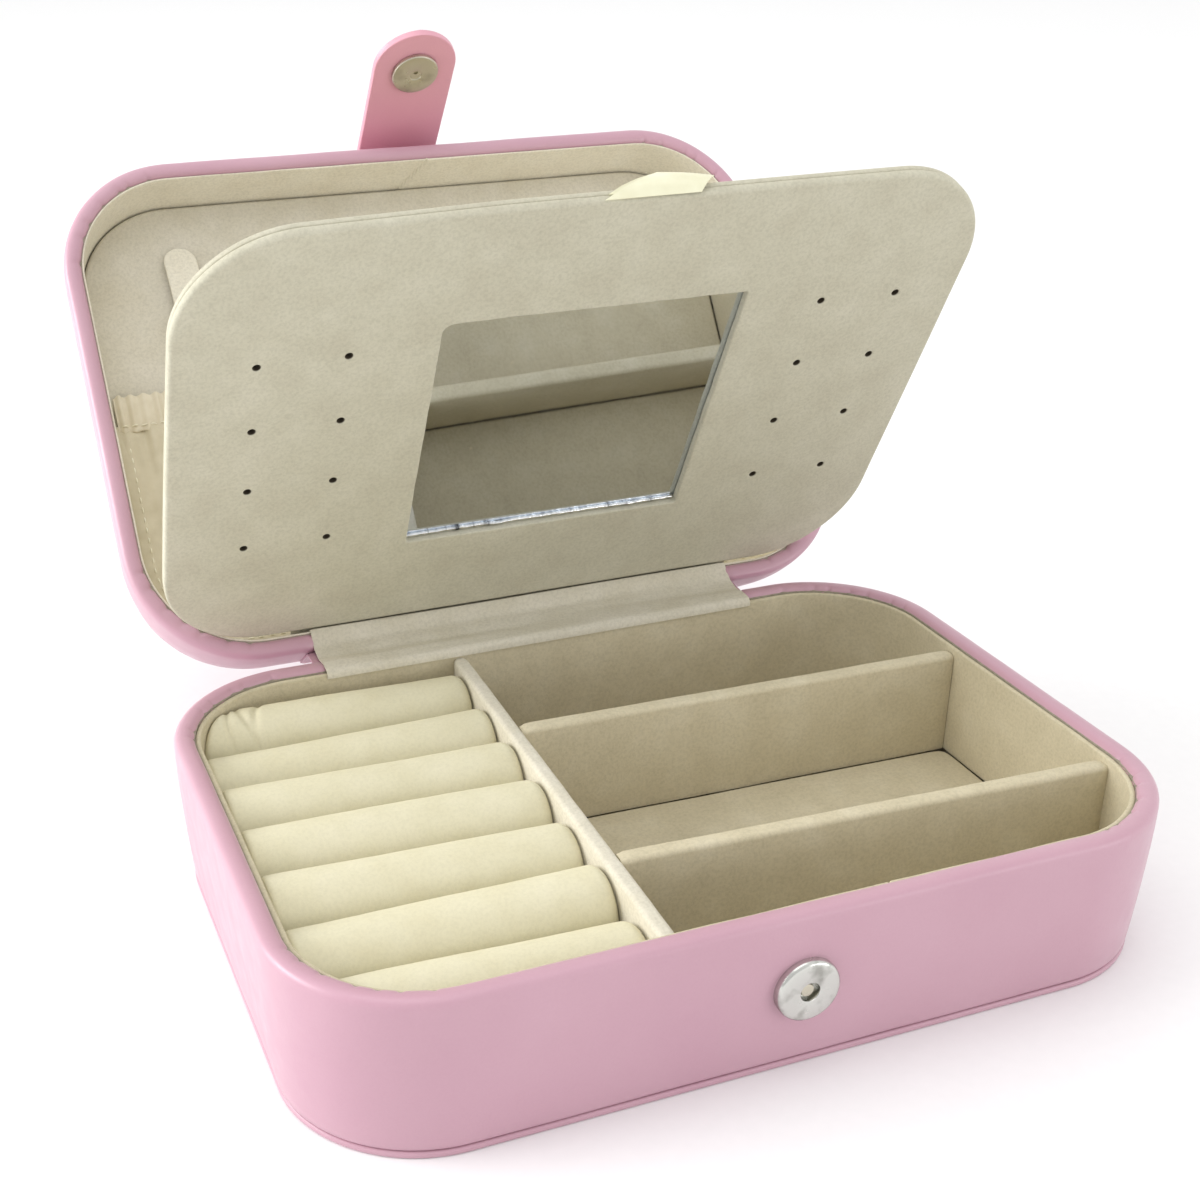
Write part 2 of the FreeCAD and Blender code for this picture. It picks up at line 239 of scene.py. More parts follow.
def wall(line, section, depth=None, weight=None):
    """Rings of a wall: section is (out, z) rows, and depth x weight pushes its surface inwards."""
    pos, nrm = line
    section = np.asarray(section, float)
    tangent = np.roll(section, -1, 0) - np.roll(section, 1, 0)
    tangent = unit(tangent)
    face = np.column_stack([tangent[:, 1], -tangent[:, 0]])
    rings = []
    for k, (out, z) in enumerate(section):
        push = np.zeros(len(pos)) if depth is None else depth * weight[k]
        o = out - push * face[k, 0]
        rings.append(np.column_stack([pos + nrm * o[:, None], z - push * face[k, 1]]))
    return np.array(rings)


def inside(points, polygon):
    """Which points lie in a polygon, by counting crossings."""
    x, y = points[:, 0][:, None], points[:, 1][:, None]
    a, b = polygon, np.roll(polygon, -1, 0)
    dy = np.where(b[:, 1] == a[:, 1], 1e-12, b[:, 1] - a[:, 1])
    cross = ((a[:, 1] > y) != (b[:, 1] > y)) & (x < (b[:, 0] - a[:, 0]) * (y - a[:, 1]) / dy + a[:, 0])
    return cross.sum(1) % 2 == 1


def round_steps(radius):
    return arc(0, 90, 5) if radius else [pi / 2]


def kept_triangles(tris, edges, outer):
    """Triangles inside the first loop of edges (of outer points) and outside the others, found by spreading."""
    border = {frozenset(e) for e in edges}
    inner_side = {(a, b) if k < outer else (b, a) for k, (a, b) in enumerate(edges)}
    beside, todo = {}, []
    for k, (a, b, c) in enumerate(tris):
        for e in ((a, b), (b, c), (c, a)):
            beside.setdefault(frozenset(e), []).append(k)
            if e in inner_side:
                todo.append(k)
    kept = set(todo)
    while todo:
        a, b, c = tris[todo.pop()]
        for e in (frozenset((a, b)), frozenset((b, c)), frozenset((c, a))):
            if e not in border:
                fresh = [k for k in beside[e] if k not in kept]
                kept.update(fresh)
                todo += fresh
    return [tris[k] for k in sorted(kept)]


def board(name, edge, z0, z1, r0, r1, where=TRAY, cuts=(), cut_r=0.4, spacing=3.0, shape=None):
    """Covered board: flat piece from z0 to z1, its edges rounded by r0 and r1, with openings through it.

    edge and each of cuts are (points, normals), the normals pointing off the material. shape moves the points.
    """
    loops = [(edge, r0, r1)] + [(c, cut_r, cut_r) for c in cuts]
    verts, faces, lids = [], [], ([], [])
    for (pos, nrm), low, high in loops:
        rows = [(-low - 0.3, z0)] if low else []
        rows += [(-low * (1 - sin(t)), z0 + low * (1 - cos(t))) for t in round_steps(low)]
        rows += [(-high * (1 - cos(t)), z1 - high * (1 - sin(t))) for t in round_steps(high)]
        rows += [(-high - 0.3, z1)] if high else []
        start, n = len(verts), len(pos)
        for out, z in rows:
            verts += [(p[0], p[1], z) for p in pos + nrm * out]
        faces += grid_faces(len(rows), n, wrap_cols=True, start=start)
        lids[0].append(list(range(start, start + n)))
        lids[1].append(list(range(start + (len(rows) - 1) * n, start + len(rows) * n)))
    for side, rims in enumerate(lids):
        ids = [i for rim in rims for i in rim]
        flat = np.array([verts[i][:2] for i in ids])
        rings = [np.array([verts[i][:2] for i in rim]) for rim in rims]
        lo, hi = rings[0].min(0), rings[0].max(0)
        gx, gy = (np.arange(lo[k] + spacing / 2, hi[k], spacing) for k in (0, 1))
        grid = np.array([(x + (spacing / 2 if j % 2 else 0), y) for j, y in enumerate(gy) for x in gx])
        keep = inside(grid, rings[0])
        for ring in rings[1:]:
            keep &= ~inside(grid, ring)
        grid = grid[keep]
        near = np.array([np.min(np.sum((flat - g) ** 2, axis=1)) for g in grid]) if len(grid) else np.zeros(0)
        grid = grid[near > (spacing * 0.45) ** 2]
        edges, at = [], 0
        for ring in rings:
            n = len(ring)
            edges += [(at + k, at + (k + 1) % n) for k in range(n)]
            at += n
        points = np.concatenate([flat, grid]) if len(grid) else flat
        result = geometry.delaunay_2d_cdt([Vector(p) for p in points], edges, [], 0, 1e-6)
        origin = [o[0] for o in result[3]]
        tris = kept_triangles([tuple(origin[i] for i in tri) for tri in result[2]], edges, len(rings[0]))
        base, z = len(verts), (z0, z1)[side]
        verts += [(g[0], g[1], z) for g in grid]
        faces += [tuple(ids[i] if i < len(ids) else base + i - len(ids) for i in tri) for tri in tris]
    verts = np.array(verts)
    if shape:
        verts = shape(verts)
    return finish_mesh(name, verts, faces, where)


def sweep(name, path, radius, where=TRAY, sides=8):
    """Thin round thread along points, tapered to both ends."""
    path = np.asarray(path, float)
    rings = []
    for k, p in enumerate(path):
        t = Vector(path[min(k + 1, len(path) - 1)] - path[max(k - 1, 0)]).normalized()
        a = t.cross(Vector((0, 0, 1)) if abs(t.z) < 0.9 else Vector((0, 1, 0))).normalized()
        b = t.cross(a)
        f = k / (len(path) - 1)
        r = radius * sqrt(max(0.04, 1 - abs(2 * f - 1) ** 4))
        rings.append([tuple(Vector(p) + (a * cos(q) + b * sin(q)) * r)
                      for q in circle(sides)])
    return loft(name, rings, where, caps=True)


def join(name, objects):
    """One mesh object from several."""
    bm = bmesh.new()
    for o in objects:
        bm.from_mesh(o.data)
        bpy.data.objects.remove(o)
    mesh = bpy.data.meshes.new(name)
    bm.to_mesh(mesh)
    bm.free()
    obj = bpy.data.objects.new(name, mesh)
    bpy.context.scene.collection.objects.link(obj)
    return obj


def stitches(name, points, where, length=2.2, gap=0.9, radius=0.22, lift=(0, 0, 0.1)):
    """Row of separate sewn threads along a polyline, each bowed up in its middle."""
    points = np.asarray(points, float)
    s = run_length(points)
    lift = np.asarray(lift, float)
    threads = []
    for a in np.arange(0, s[-1] - length, length + gap):
        at = np.linspace(a, a + length, 6)
        p = along(at, s, points)
        bow = np.sin(np.linspace(0, pi, 6))[:, None]
        threads.append(sweep(name, p + lift * (2 * bow - 1), radius, where, sides=6))
    return join(name, threads)


def lathe(name, profile, centre, out, where=TRAY, sides=72, change=None):
    """Turned piece: profile is (radius, height) rows, height measured along out from centre."""
    out = Vector(out).normalized()
    a = out.cross(Vector((1, 0, 0))).normalized()
    b = out.cross(a)
    rings = np.array([[tuple(Vector(centre) + out * h + (a * cos(q) + b * sin(q)) * max(r, 0.004))
                       for q in circle(sides)] for r, h in profile])
    return loft(name, change(rings) if change else rings, where, caps=True, sharp=35)


def strip(name, path, x0, x1, thickness, ripple=0.0, seed=1, step=1.0, where=TRAY):
    """Ribbon-like piece: path is (y, z) rows in the hinge's cross-section, drawn out from x0 to x1."""
    path = np.asarray(path, float)
    s = run_length(path)
    at = np.linspace(0, s[-1], max(12, int(s[-1] / 0.7)))
    y, z = (np.interp(at, s, path[:, k]) for k in (0, 1))
    relax(y, 2)
    relax(z, 2)
    ty, tz = np.gradient(y), np.gradient(z)
    size = np.hypot(ty, tz)
    ny, nz = -tz / size, ty / size
    xs = np.linspace(x0, x1, int((x1 - x0) / step) + 1)
    edge = np.minimum(np.minimum(xs - x0, x1 - xs), 0.5) / 0.5
    half = thickness / 2 * np.sqrt(np.clip(1 - (1 - edge) ** 2 * 0.75, 0, 1))
    centre = np.stack([np.broadcast_to(xs, (len(at), len(xs))), np.repeat(y[:, None], len(xs), 1),
                       np.repeat(z[:, None], len(xs), 1)], -1)
    fold = wobble(centre * np.array([0.06, 1, 1]), 3.2, seed) * ripple * np.sin(pi * at / s[-1])[:, None]
    grids = []
    for sign in (1, -1):
        g = centre.copy()
        g[..., 1] += ny[:, None] * (sign * half + fold)
        g[..., 2] += nz[:, None] * (sign * half + fold)
        grids.append(g)
    return slab(name, grids[0], grids[1], where)


# ---- materials

def srgb(r, g, b):
    """Linear colour with alpha from 8-bit display values."""
    lin = [c / 12.92 if c <= 0.04045 else ((c + 0.055) / 1.055) ** 2.4 for c in (r / 255, g / 255, b / 255)]
    return (lin[0], lin[1], lin[2], 1.0)


class Look:
    """Principled material whose nodes are added one by one in object coordinates."""

    def __init__(self, name, **sockets):
        self.mat = bpy.data.materials.new(name)
        self.mat.use_nodes = True
        self.tree = self.mat.node_tree
        self.shader = self.tree.nodes["Principled BSDF"]
        for key, value in sockets.items():
            self.shader.inputs[key.replace("_", " ")].default_value = value
        self.coords = self.add("ShaderNodeTexCoord").outputs["Object"]

    def add(self, kind, links=(), **values):
        node = self.tree.nodes.new(kind)
        for key, value in values.items():
            if hasattr(node, key):
                setattr(node, key, value)
            else:
                node.inputs[key.replace("_", " ")].default_value = value
        for socket, source in links:
            self.tree.links.new(source, node.inputs[socket])
        return node

    def noise(self, size, detail=3.0, roughness=0.55, stretch=(1, 1, 1)):
        """Noise whose features are about size millimetres."""
        scaled = self.add("ShaderNodeMapping", [("Vector", self.coords)], Scale=stretch).outputs[0]
        node = self.add("ShaderNodeTexNoise", [("Vector", scaled)], Scale=1 / (size * MM), Detail=detail,
                        Roughness=roughness)
        return node.outputs["Fac"]

    def cells(self, size):
        node = self.add("ShaderNodeTexVoronoi", [("Vector", self.coords)], feature="SMOOTH_F1",
                        Scale=1 / (size * MM))
        return node.outputs["Distance"]

    def ramp(self, source, *stops):
        node = self.add("ShaderNodeValToRGB", [("Fac", source)])
        ramp = node.color_ramp
        while len(ramp.elements) < len(stops):
            ramp.elements.new(0.5)
        for element, (at, colour) in zip(ramp.elements, stops):
            element.position = at
            element.color = colour
        return node.outputs["Color"]

    def blend(self, fac, a, b, mode="MIX"):
        node = self.add("ShaderNodeMix", data_type="RGBA", blend_type=mode)
        for socket, value in ((0, fac), (6, a), (7, b)):
            if isinstance(value, bpy.types.NodeSocket):
                self.tree.links.new(value, node.inputs[socket])
            else:
                node.inputs[socket].default_value = value
        return node.outputs[2]

    def scale(self, source, low, high, start=0.3, end=0.7):
        node = self.add("ShaderNodeMapRange", [("Value", source)])
        for key, value in (("From Min", start), ("From Max", end), ("To Min", low), ("To Max", high)):
            node.inputs[key].default_value = value
        return node.outputs[0]

    def bump(self, source, depth, strength=1.0, under=None):
        """Bump of the given depth in millimetres, laid over another bump."""
        links = [("Height", source)] + ([("Normal", under)] if under else [])
        return self.add("ShaderNodeBump", links, Strength=strength, Distance=depth * MM).outputs[0]

    def set(self, socket, source):
        self.tree.links.new(source, self.shader.inputs[socket])
        return self


def leather(name, base, deep, light):
    m = Look(name, Roughness=0.4, Specular_IOR_Level=0.5, Coat_Weight=0.2, Coat_Roughness=0.35,
             Sheen_Weight=0.1, Sheen_Roughness=0.4)
    tone = m.ramp(m.noise(34, 2, 0.4), (0.25, deep), (0.5, base), (0.78, light))
    speck = m.ramp(m.cells(0.5), (0.0, (1, 1, 1, 1)), (0.9, (0.95, 0.93, 0.94, 1)))
    m.set("Base Color", m.blend(0.5, tone, speck, "MULTIPLY"))
    m.set("Roughness", m.scale(m.noise(6, 3), 0.34, 0.5))
    grain = m.bump(m.cells(0.55), 0.03, 0.5)
    m.set("Normal", m.bump(m.noise(1.6, 4, 0.6), 0.02, 0.4, grain))
    return m.mat


def suede(name, dark, mid, light, nap=0.09, grain=0.75, hole_shade=None):
    m = Look(name, Roughness=0.95, Specular_IOR_Level=0.12, Sheen_Weight=0.22, Sheen_Roughness=0.45)
    m.shader.inputs["Sheen Tint"].default_value = light
    broad = m.noise(9, 2, 0.5)
    fine = m.noise(0.8, 4, 0.7)
    tone = m.ramp(broad, (0.2, dark), (0.5, mid), (0.8, light))
    fibre = m.ramp(fine, (0.34, (0.82, 0.82, 0.81, 1)), (0.58, (1, 1, 1, 1)))
    tone = m.blend(grain, tone, fibre, "MULTIPLY")
    if hole_shade:
        # Hole walls painted dark: painted shade inside the holes, where little light reaches.
        tone = m.blend(hole_shade(m), tone, srgb(70, 62, 52))
    m.set("Base Color", tone)
    m.set("Normal", m.bump(m.noise(0.35, 3, 0.7), nap, 0.5, m.bump(fine, nap * 1.6, 0.45)))
    return m.mat


def satin(name, dark, light):
    m = Look(name, Roughness=0.5, Specular_IOR_Level=0.4, Sheen_Weight=0.15, Sheen_Roughness=0.35)
    m.set("Base Color", m.ramp(m.noise(5, 4), (0.3, dark), (0.7, light)))
    warp = m.add("ShaderNodeTexWave", [("Vector", m.coords)], Scale=1400.0, Distortion=0.6)
    m.set("Normal", m.bump(warp.outputs["Fac"], 0.02, 0.4, m.bump(m.noise(1.6, 4), 0.06, 0.5)))
    return m.mat


def metal(name, dark, light, blotch, rough):
    m = Look(name, Metallic=1.0, Roughness=rough)
    stain = m.noise(blotch, 3, 0.5)
    m.set("Base Color", m.ramp(stain, (0.32, dark), (0.5, light), (0.75, light)))
    m.set("Roughness", m.scale(m.noise(2.4, 3), rough * 0.8, rough * 1.4))
    m.set("Normal", m.bump(m.noise(1.1, 3, 0.6), 0.006, 0.5))
    return m.mat


PINK = leather("pink_leather", srgb(192, 151, 165), srgb(189, 147, 162), srgb(195, 155, 169))
# Pinker, brighter copy of the pink leather for the tab: painted warm bounce light, standing in for the pink
# shade on the tab's inner face.
TAB_BOUNCE_PINK = leather("tab_leather_painted_bounce", srgb(215, 155, 170), srgb(212, 150, 166), srgb(218, 159, 173))
SUEDE = suede("cream_suede", srgb(196, 186, 159), srgb(202, 192, 165), srgb(208, 199, 174))
SUEDE_LIGHT = suede("light_suede", srgb(206, 199, 180), srgb(211, 205, 188), srgb(217, 211, 196))
# Paler copy of the cream suede. On the lid band its extra lightness is painted light, standing in for the light
# that falls there; the keeper strap, a smoother and lighter strap, gets the same suede.
SUEDE_PALE_AND_LIT = suede("pale_and_lit_suede", srgb(222, 215, 196), srgb(227, 221, 203), srgb(231, 226, 210))
ROLL = suede("roll_suede", srgb(213, 206, 176), srgb(217, 211, 183), srgb(221, 215, 189), 0.05, 0.35)
SATIN = satin("cream_satin", srgb(196, 186, 158), srgb(209, 200, 174))
SATIN_HEM = satin("hem_satin", srgb(208, 198, 172), srgb(220, 211, 188))
RIBBON = satin("ribbon_satin", srgb(224, 221, 190), srgb(232, 230, 202))
STITCH = satin("stitch_thread", srgb(232, 226, 200), srgb(242, 238, 220))
THREAD = satin("pink_thread", srgb(222, 150, 178), srgb(236, 172, 196))
NICKEL = metal("nickel", srgb(166, 166, 160), srgb(206, 206, 201), 4.5, 0.2)
NICKEL_DULL = metal("nickel_brushed", srgb(176, 170, 154), srgb(198, 193, 176), 6, 0.3)


def board_look():
    m = Look("greyboard", Roughness=0.9, Specular_IOR_Level=0.2)
    m.set("Base Color", m.ramp(m.noise(1.2, 5, 0.7), (0.3, srgb(140, 132, 118)), (0.7, srgb(170, 162, 146))))
    m.set("Normal", m.bump(m.noise(0.5, 4), 0.06, 0.6))
    return m.mat


def mirror_look():
    m = Look("mirror_silver", Metallic=1.0, Roughness=0.02)
    m.set("Base Color", m.ramp(m.cells(5.5), (0.0, srgb(240, 243, 246)), (0.035, srgb(228, 232, 238)),
                               (0.05, srgb(222, 228, 236))))
    m.set("Roughness", m.scale(m.noise(14, 3), 0.012, 0.035))
    return m.mat


def ground_look():
    m = Look("ground_glass", Metallic=1.0, Roughness=0.1)
    m.set("Base Color", m.ramp(m.noise(2.6, 3, 0.6, (1, 0.3, 0.3)), (0.3, srgb(70, 72, 74)),
                               (0.47, srgb(214, 216, 216)), (0.7, srgb(246, 247, 246))))
    m.set("Normal", m.bump(m.noise(1.2, 3), 0.15, 0.6))
    return m.mat


BOARD = board_look()
MIRROR = mirror_look()
GROUND = ground_look()

for node, obj in frame["nodes"].items():
    obj.data.materials.clear()
    obj.data.materials.append(NICKEL if "snap" in node else BOARD)


# ---- sizes read from the frame

def size_of(node, where=TRAY):
    lo, hi = span(node, where)
    return hi[0] - lo[0], hi[1] - lo[1]


T_HI = span("tray_leather")[1]
L_LO, L_HI = span("lid_leather", LID)
C_LO, C_HI = span("bottom_cover")
LINE_LO, LINE_HI = span("tray_wall_lining")
BAND_LO, BAND_HI = span("lid_wall_lining", LID)
RIM_W, RIM_D = size_of("tray_leather")
RIM_R = 32.0
FOOT_IN = (RIM_W - (C_HI[0] - C_LO[0])) / 2
TRAY_WALL = (RIM_W - (LINE_HI[0] - LINE_LO[0])) / 2
LID_WALL = (RIM_W - (BAND_HI[0] - BAND_LO[0])) / 2
LINING = 1.2
LONG_HALF, CROSS_HALF, SLIT = 1.8, 2.2, 0.45      # half thickness of the dividers, gap beside them
STRAP_LO, STRAP_HI = span("tray_hinge_lining")
FLOOR = span("floor_pad")[1][2]


def grown(out, **options):
    """Outline of the case's rim, moved outwards by out."""
    return outline(RIM_W + 2 * out, RIM_D + 2 * out, RIM_R + out, **options)


def half_round(mid, half, top, height, n=15, flat=0.8, up=1):
    """Rolled rim: (out, z) from one side of the wall over its crest to the other."""
    rows = []
    for a in arc(180 if up < 0 else 0, 0 if up < 0 else 180, n):
        c, s = cos(a), sin(a)
        rows.append((mid + half * squared(c, flat), top - up * height * (1 - abs(s) ** flat)))
    return rows


def corner_puckers(line, count, seed):
    """Depth 0 to 1 of small gathers where the leather turns round the corners."""
    pos, nrm = line
    s = run_length(pos)
    rng = np.random.RandomState(seed)
    turning = np.minimum(np.abs(nrm[:, 0]), np.abs(nrm[:, 1])) > 0.02
    depth = np.zeros(len(pos))
    starts = np.flatnonzero(turning & ~np.roll(turning, 1))
    for a in starts:
        b = a
        while b + 1 < len(pos) and turning[b + 1]:
            b += 1
        places = np.linspace(s[a] + 4, s[b] - 4, count) + rng.uniform(-2.2, 2.2, count)
        hollow = dents(s, places, rng.uniform(0.5, 1.0, count))
        depth = np.maximum(depth, hollow * (0.45 + 0.55 * wobble(on_x(s), 5, seed) ** 2))
    return depth


# ---- tray: leather, base, lining and floor

REAR_Y = 60
RIM_PRESS = 0.9
RIM_LINE = outline(RIM_W, RIM_D, RIM_R, turn=100)


def under_strip(rings):
    """1 where the hinge lining crosses the rear rim, so that the rim is pressed in there, and 0 elsewhere."""
    x, y = rings[..., 0], rings[..., 1]
    return smooth((x - STRAP_LO[0] + 0.6) / 1.2) * smooth((STRAP_HI[0] + 0.6 - x) / 1.2) * (y > REAR_Y)


def skin(rings, seed):
    """Slight unevenness of stretched leather."""
    return wobble(rings, 26, seed) * 0.16 + wobble(rings, 9, seed + 3) * 0.05


def tray_shell():
    foot, top = C_HI[2], T_HI[2]
    rise = np.linspace(0, 1, 18)
    outer = [(-FOOT_IN - 1.6, foot + 0.02), (-FOOT_IN - 0.7, foot + 0.06), (-FOOT_IN - 0.15, foot + 0.45)]
    outer += [(-FOOT_IN * (1 - k) + 0.4 * sin(pi * k) ** 0.8, foot + 1.0 + (top - 3.3 - foot) * k)
              for k in rise]
    crest = half_round(-TRAY_WALL / 2, TRAY_WALL / 2, top, 2.2)[1:]
    w = TRAY_WALL
    inner = [(-w, top - 3.2), (-w, top - 4.6), (-w + 1, top - 4.6), (-w + 1.1, top - 2.6)]
    under = [(-w / 2, top - 1.1), (-1.15, top - 2.6), (-FOOT_IN - 1.0, foot + 1.6),
             (-FOOT_IN - 1.5, foot + 0.6)]
    section = outer + crest + inner + under
    n_out, n_crest = len(outer), len(crest)
    weight = np.zeros(len(section))
    for k in range(n_crest):
        weight[n_out + k] = 0.85 * smooth((k / n_crest - 0.42) / 0.3)
    weight[n_out + n_crest] = 0.45
    rings = wall(RIM_LINE, section, corner_puckers(RIM_LINE, 7, 4), weight)
    seen = n_out + n_crest
    rings[:seen, :, :2] += RIM_LINE[1] * skin(rings[:seen], 2)[..., None]
    rings[..., 2] -= RIM_PRESS * under_strip(rings) * smooth((rings[..., 2] - (top - 4.5)) / 3)
    return loft("tray_leather_wrap", rings, tube=True)


place(tray_shell(), "tray", PINK, ["tray_leather"])


def base_cover():
    w, d = C_HI[0] - C_LO[0], C_HI[1] - C_LO[1]
    edge = outline(w, d, RIM_R - FOOT_IN, turn=40)
    return board("tray_base_cover", edge, 0.0, C_HI[2] - 0.05, 0.65, 0.6, spacing=6)


place(base_cover(), "tray", PINK, ["bottom_cover"])


def denser(line, lo, hi, step=0.15):
    """An outline with close points between lo and hi along its front side."""
    pos, nrm = line
    near = np.flatnonzero((nrm[:, 1] < -0.999) & (pos[:, 0] > lo) & (pos[:, 0] < hi))
    a, b = near[0], near[-1]
    xs = np.arange(pos[a, 0], pos[b, 0], step)
    between = np.column_stack([xs, np.full(len(xs), pos[a, 1])])
    return (np.concatenate([pos[:a], between, pos[b:]]),
            np.concatenate([nrm[:a], np.repeat(nrm[a:a + 1], len(xs), 0), nrm[b:]]))


def lining_band(name, inner_out, thick, z_low, z_high, where, seed, seam=None, up=True):
    """Suede strip round the inside of a wall, its free edge softly rounded."""
    line = outline(RIM_W, RIM_D, RIM_R, turn=60)
    if seam:
        line = denser(line, min(seam[0], sum(seam)) - 3.5, max(seam[0], sum(seam)) + 3.5)
    pos, nrm = line
    free, far = (z_high, z_low) if up else (z_low, z_high)
    sign = 1 if up else -1
    mid = [free + (far - free) * k for k in np.linspace(0.1, 0.92, 8)]
    section = [(-inner_out, far)] + [(-inner_out, z) for z in mid[::-1]] + [(-inner_out, free - 0.5 * sign)]
    section += [(-inner_out - thick / 2 + thick / 2 * cos(a), free - 0.45 * sign + 0.45 * sign * sin(a))
                for a in arc(20, 160, 7)]
    section += [(-inner_out - thick, free - 0.5 * sign)] + [(-inner_out - thick, z) for z in mid]
    section += [(-inner_out - thick, far)]
    rings = wall(line, section)
    inward = np.array([o < -inner_out - thick * 0.4 for o, _ in section])
    soft = 0.14 * wobble(rings, 22, seed) + 0.06 * wobble(rings, 6, seed + 1)
    if seam:
        x, z = rings[..., 0], rings[..., 2]
        cut = seam[0] + seam[1] * (z - free) / (far - free)
        lap = smooth((x - cut) / 0.35) * smooth((cut + 30 - x) / 28) * (rings[..., 1] < 0)
        groove = np.exp(-((x - cut + 0.1) / 0.3) ** 2) * (rings[..., 1] < 0)
        soft = soft - 0.14 * lap + 0.3 * groove
    rings[..., :2] += nrm * (soft * inward[:, None])[..., None]
    lift = 0.16 * wobble(np.column_stack([pos, pos[:, :1] * 0]), 14, seed + 2)
    rings[..., 2] += lift * (np.abs(rings[..., 2] - free) < 1.2)
    return loft(name, rings, where, tube=True)


place(lining_band("tray_lining_band", TRAY_WALL, LINING, FLOOR - 0.6, LINE_HI[2], TRAY, 11, (22, 3)),
      "tray", SUEDE, ["tray_wall_lining"])


def centre_line(node, along):
    """Two points on a straight divider's centre line, from its CAD node."""
    co = np.array([v.co for v in frame["nodes"][node].data.vertices], float) / MM
    ends = []
    for pick in (co[:, along].min(), co[:, along].max()):
        near = co[np.abs(co[:, along] - pick) < 0.8]
        other = near[:, 1 - along]
        p = [0.0, 0.0]
        p[along], p[1 - along] = pick, (other.min() + other.max()) / 2
        ends.append(np.array(p))
    return ends


LONG = centre_line("long_divider", 1)
CROSS = [centre_line("cross_divider_rear", 0), centre_line("cross_divider_front", 0)]
DIVIDER_TOP = span("long_divider")[1][2]


def divider(name, ends, width, z0, z1, r, seed, nick=0.0):
    """Board wrapped in suede between two points; nick lowers the top at its first end."""
    p, q = ends
    n = max(40, int(np.linalg.norm(q - p) / 1.6))
    along = (q - p) / np.linalg.norm(q - p)
    side = np.array([-along[1], along[0]])
    h = width / 2
    half = [(h, z0)] + [(h, z0 + (z1 - r - z0) * k) for k in (0.25, 0.5, 0.75)]
    half += [(h - r + r * cos(a), z1 - r + r * sin(a)) for a in arc(0, 90, 7)]
    section = half + [(-o, z) for o, z in half[::-1]]
    rings = []
    for k, t in enumerate(np.linspace(0, 1, n)):
        c = p + (q - p) * t
        end = min(t, 1 - t) * np.linalg.norm(q - p)
        squeeze = 0.3 * (1 - smooth(end / 0.6))
        ring = []
        for o, z in section:
            drop = nick * (1 - smooth(t * n / 1.6)) * smooth((z - z1 + 4) / 4)
            ring.append((*(c + side * (o - copysign(squeeze, o))), z - drop - squeeze * 0.5))
        rings.append(ring)
    rings = np.array(rings)
    soft = 0.12 * wobble(rings, 20, seed) + 0.07 * wobble(rings, 5, seed + 1)
    rings[..., :2] += side * soft[..., None]
    rings[..., 2] += 0.1 * wobble(rings[..., :1] * [1, 0, 0] + rings[..., 1:2] * [0, 1, 0], 12, seed + 3) * (
        rings[..., 2] > z1 - 3)
    return loft(name, rings, caps=True)


place(divider("divider_long", LONG, 2 * LONG_HALF, FLOOR - 0.5, DIVIDER_TOP, 1.1, 21),
      "tray", SUEDE_LIGHT, ["long_divider"])
for k, node in enumerate(("cross_divider_rear", "cross_divider_front")):
    place(divider("divider_" + node.split("_")[-1], CROSS[k], 2 * CROSS_HALF, FLOOR - 0.5, DIVIDER_TOP, 1.2,
                  25 + 5 * k, 0.5 - 0.4 * k), "tray", SUEDE, [node])


def clipped(polygon, point, normal):
    """Part of a polygon on the side of a line that normal points away from."""
    point, normal = np.array(point, float), np.array(normal, float)
    out = []
    for a, b in zip(polygon, np.roll(polygon, -1, 0)):
        da, db = (a - point) @ normal, (b - point) @ normal
        if da <= 0:
            out.append(a)
        if da * db < 0:
            out.append(a + (b - a) * da / (da - db))
    return np.array(out)


def even_edge(polygon, step=1.2, rounds=6):
    """Evenly spaced points and outward normals of a polygon with its corners softened."""
    closed = np.concatenate([polygon, polygon[:1]])
    s = run_length(closed)
    at = np.linspace(0, s[-1], int(s[-1] / step), endpoint=False)
    p = along(at, s, closed)
    for _ in range(rounds):
        p = (np.roll(p, 1, 0) + 2 * p + np.roll(p, -1, 0)) / 4
    t = np.roll(p, -1, 0) - np.roll(p, 1, 0)
    t = unit(t)
    n = np.column_stack([t[:, 1], -t[:, 0]])
    area = np.sum(p[:, 0] * np.roll(p[:, 1], -1) - np.roll(p[:, 0], -1) * p[:, 1])
    return p, n if area > 0 else -n


def floor_pad(name, cuts, gap=0.45, crown=0.35, seed=1):
    """Suede-covered floor insert that fills one compartment."""
    area = grown(-TRAY_WALL - LINING - gap, step=1.0)[0]
    for point, normal in cuts:
        area = clipped(area, point, normal)
    edge = even_edge(area)
    lo, hi = area.min(0), area.max(0)
    mid, half = (lo + hi) / 2, (hi - lo) / 2

    def shape(v):
        v = v.copy()
        u = np.clip(1 - np.abs((v[:, :2] - mid) / half) ** 4, 0, 1)
        top = v[:, 2] > FLOOR - 2
        v[:, 2] += top * (crown * u[:, 0] * u[:, 1] - crown + 0.12 * wobble(v, 15, seed))
        return v
    return board(name, edge, span("floor_board")[1][2], FLOOR, 0.0, 0.6, spacing=4, shape=shape)


def cut(ends, half, side):
    """Line where a pad ends beside a divider, on its left (1) or right (-1) seen from its first end."""
    run = (ends[1] - ends[0]) / np.linalg.norm(ends[1] - ends[0])
    across = np.array([-run[1], run[0]])
    return ends[0] + across * side * (half + SLIT), -side * across


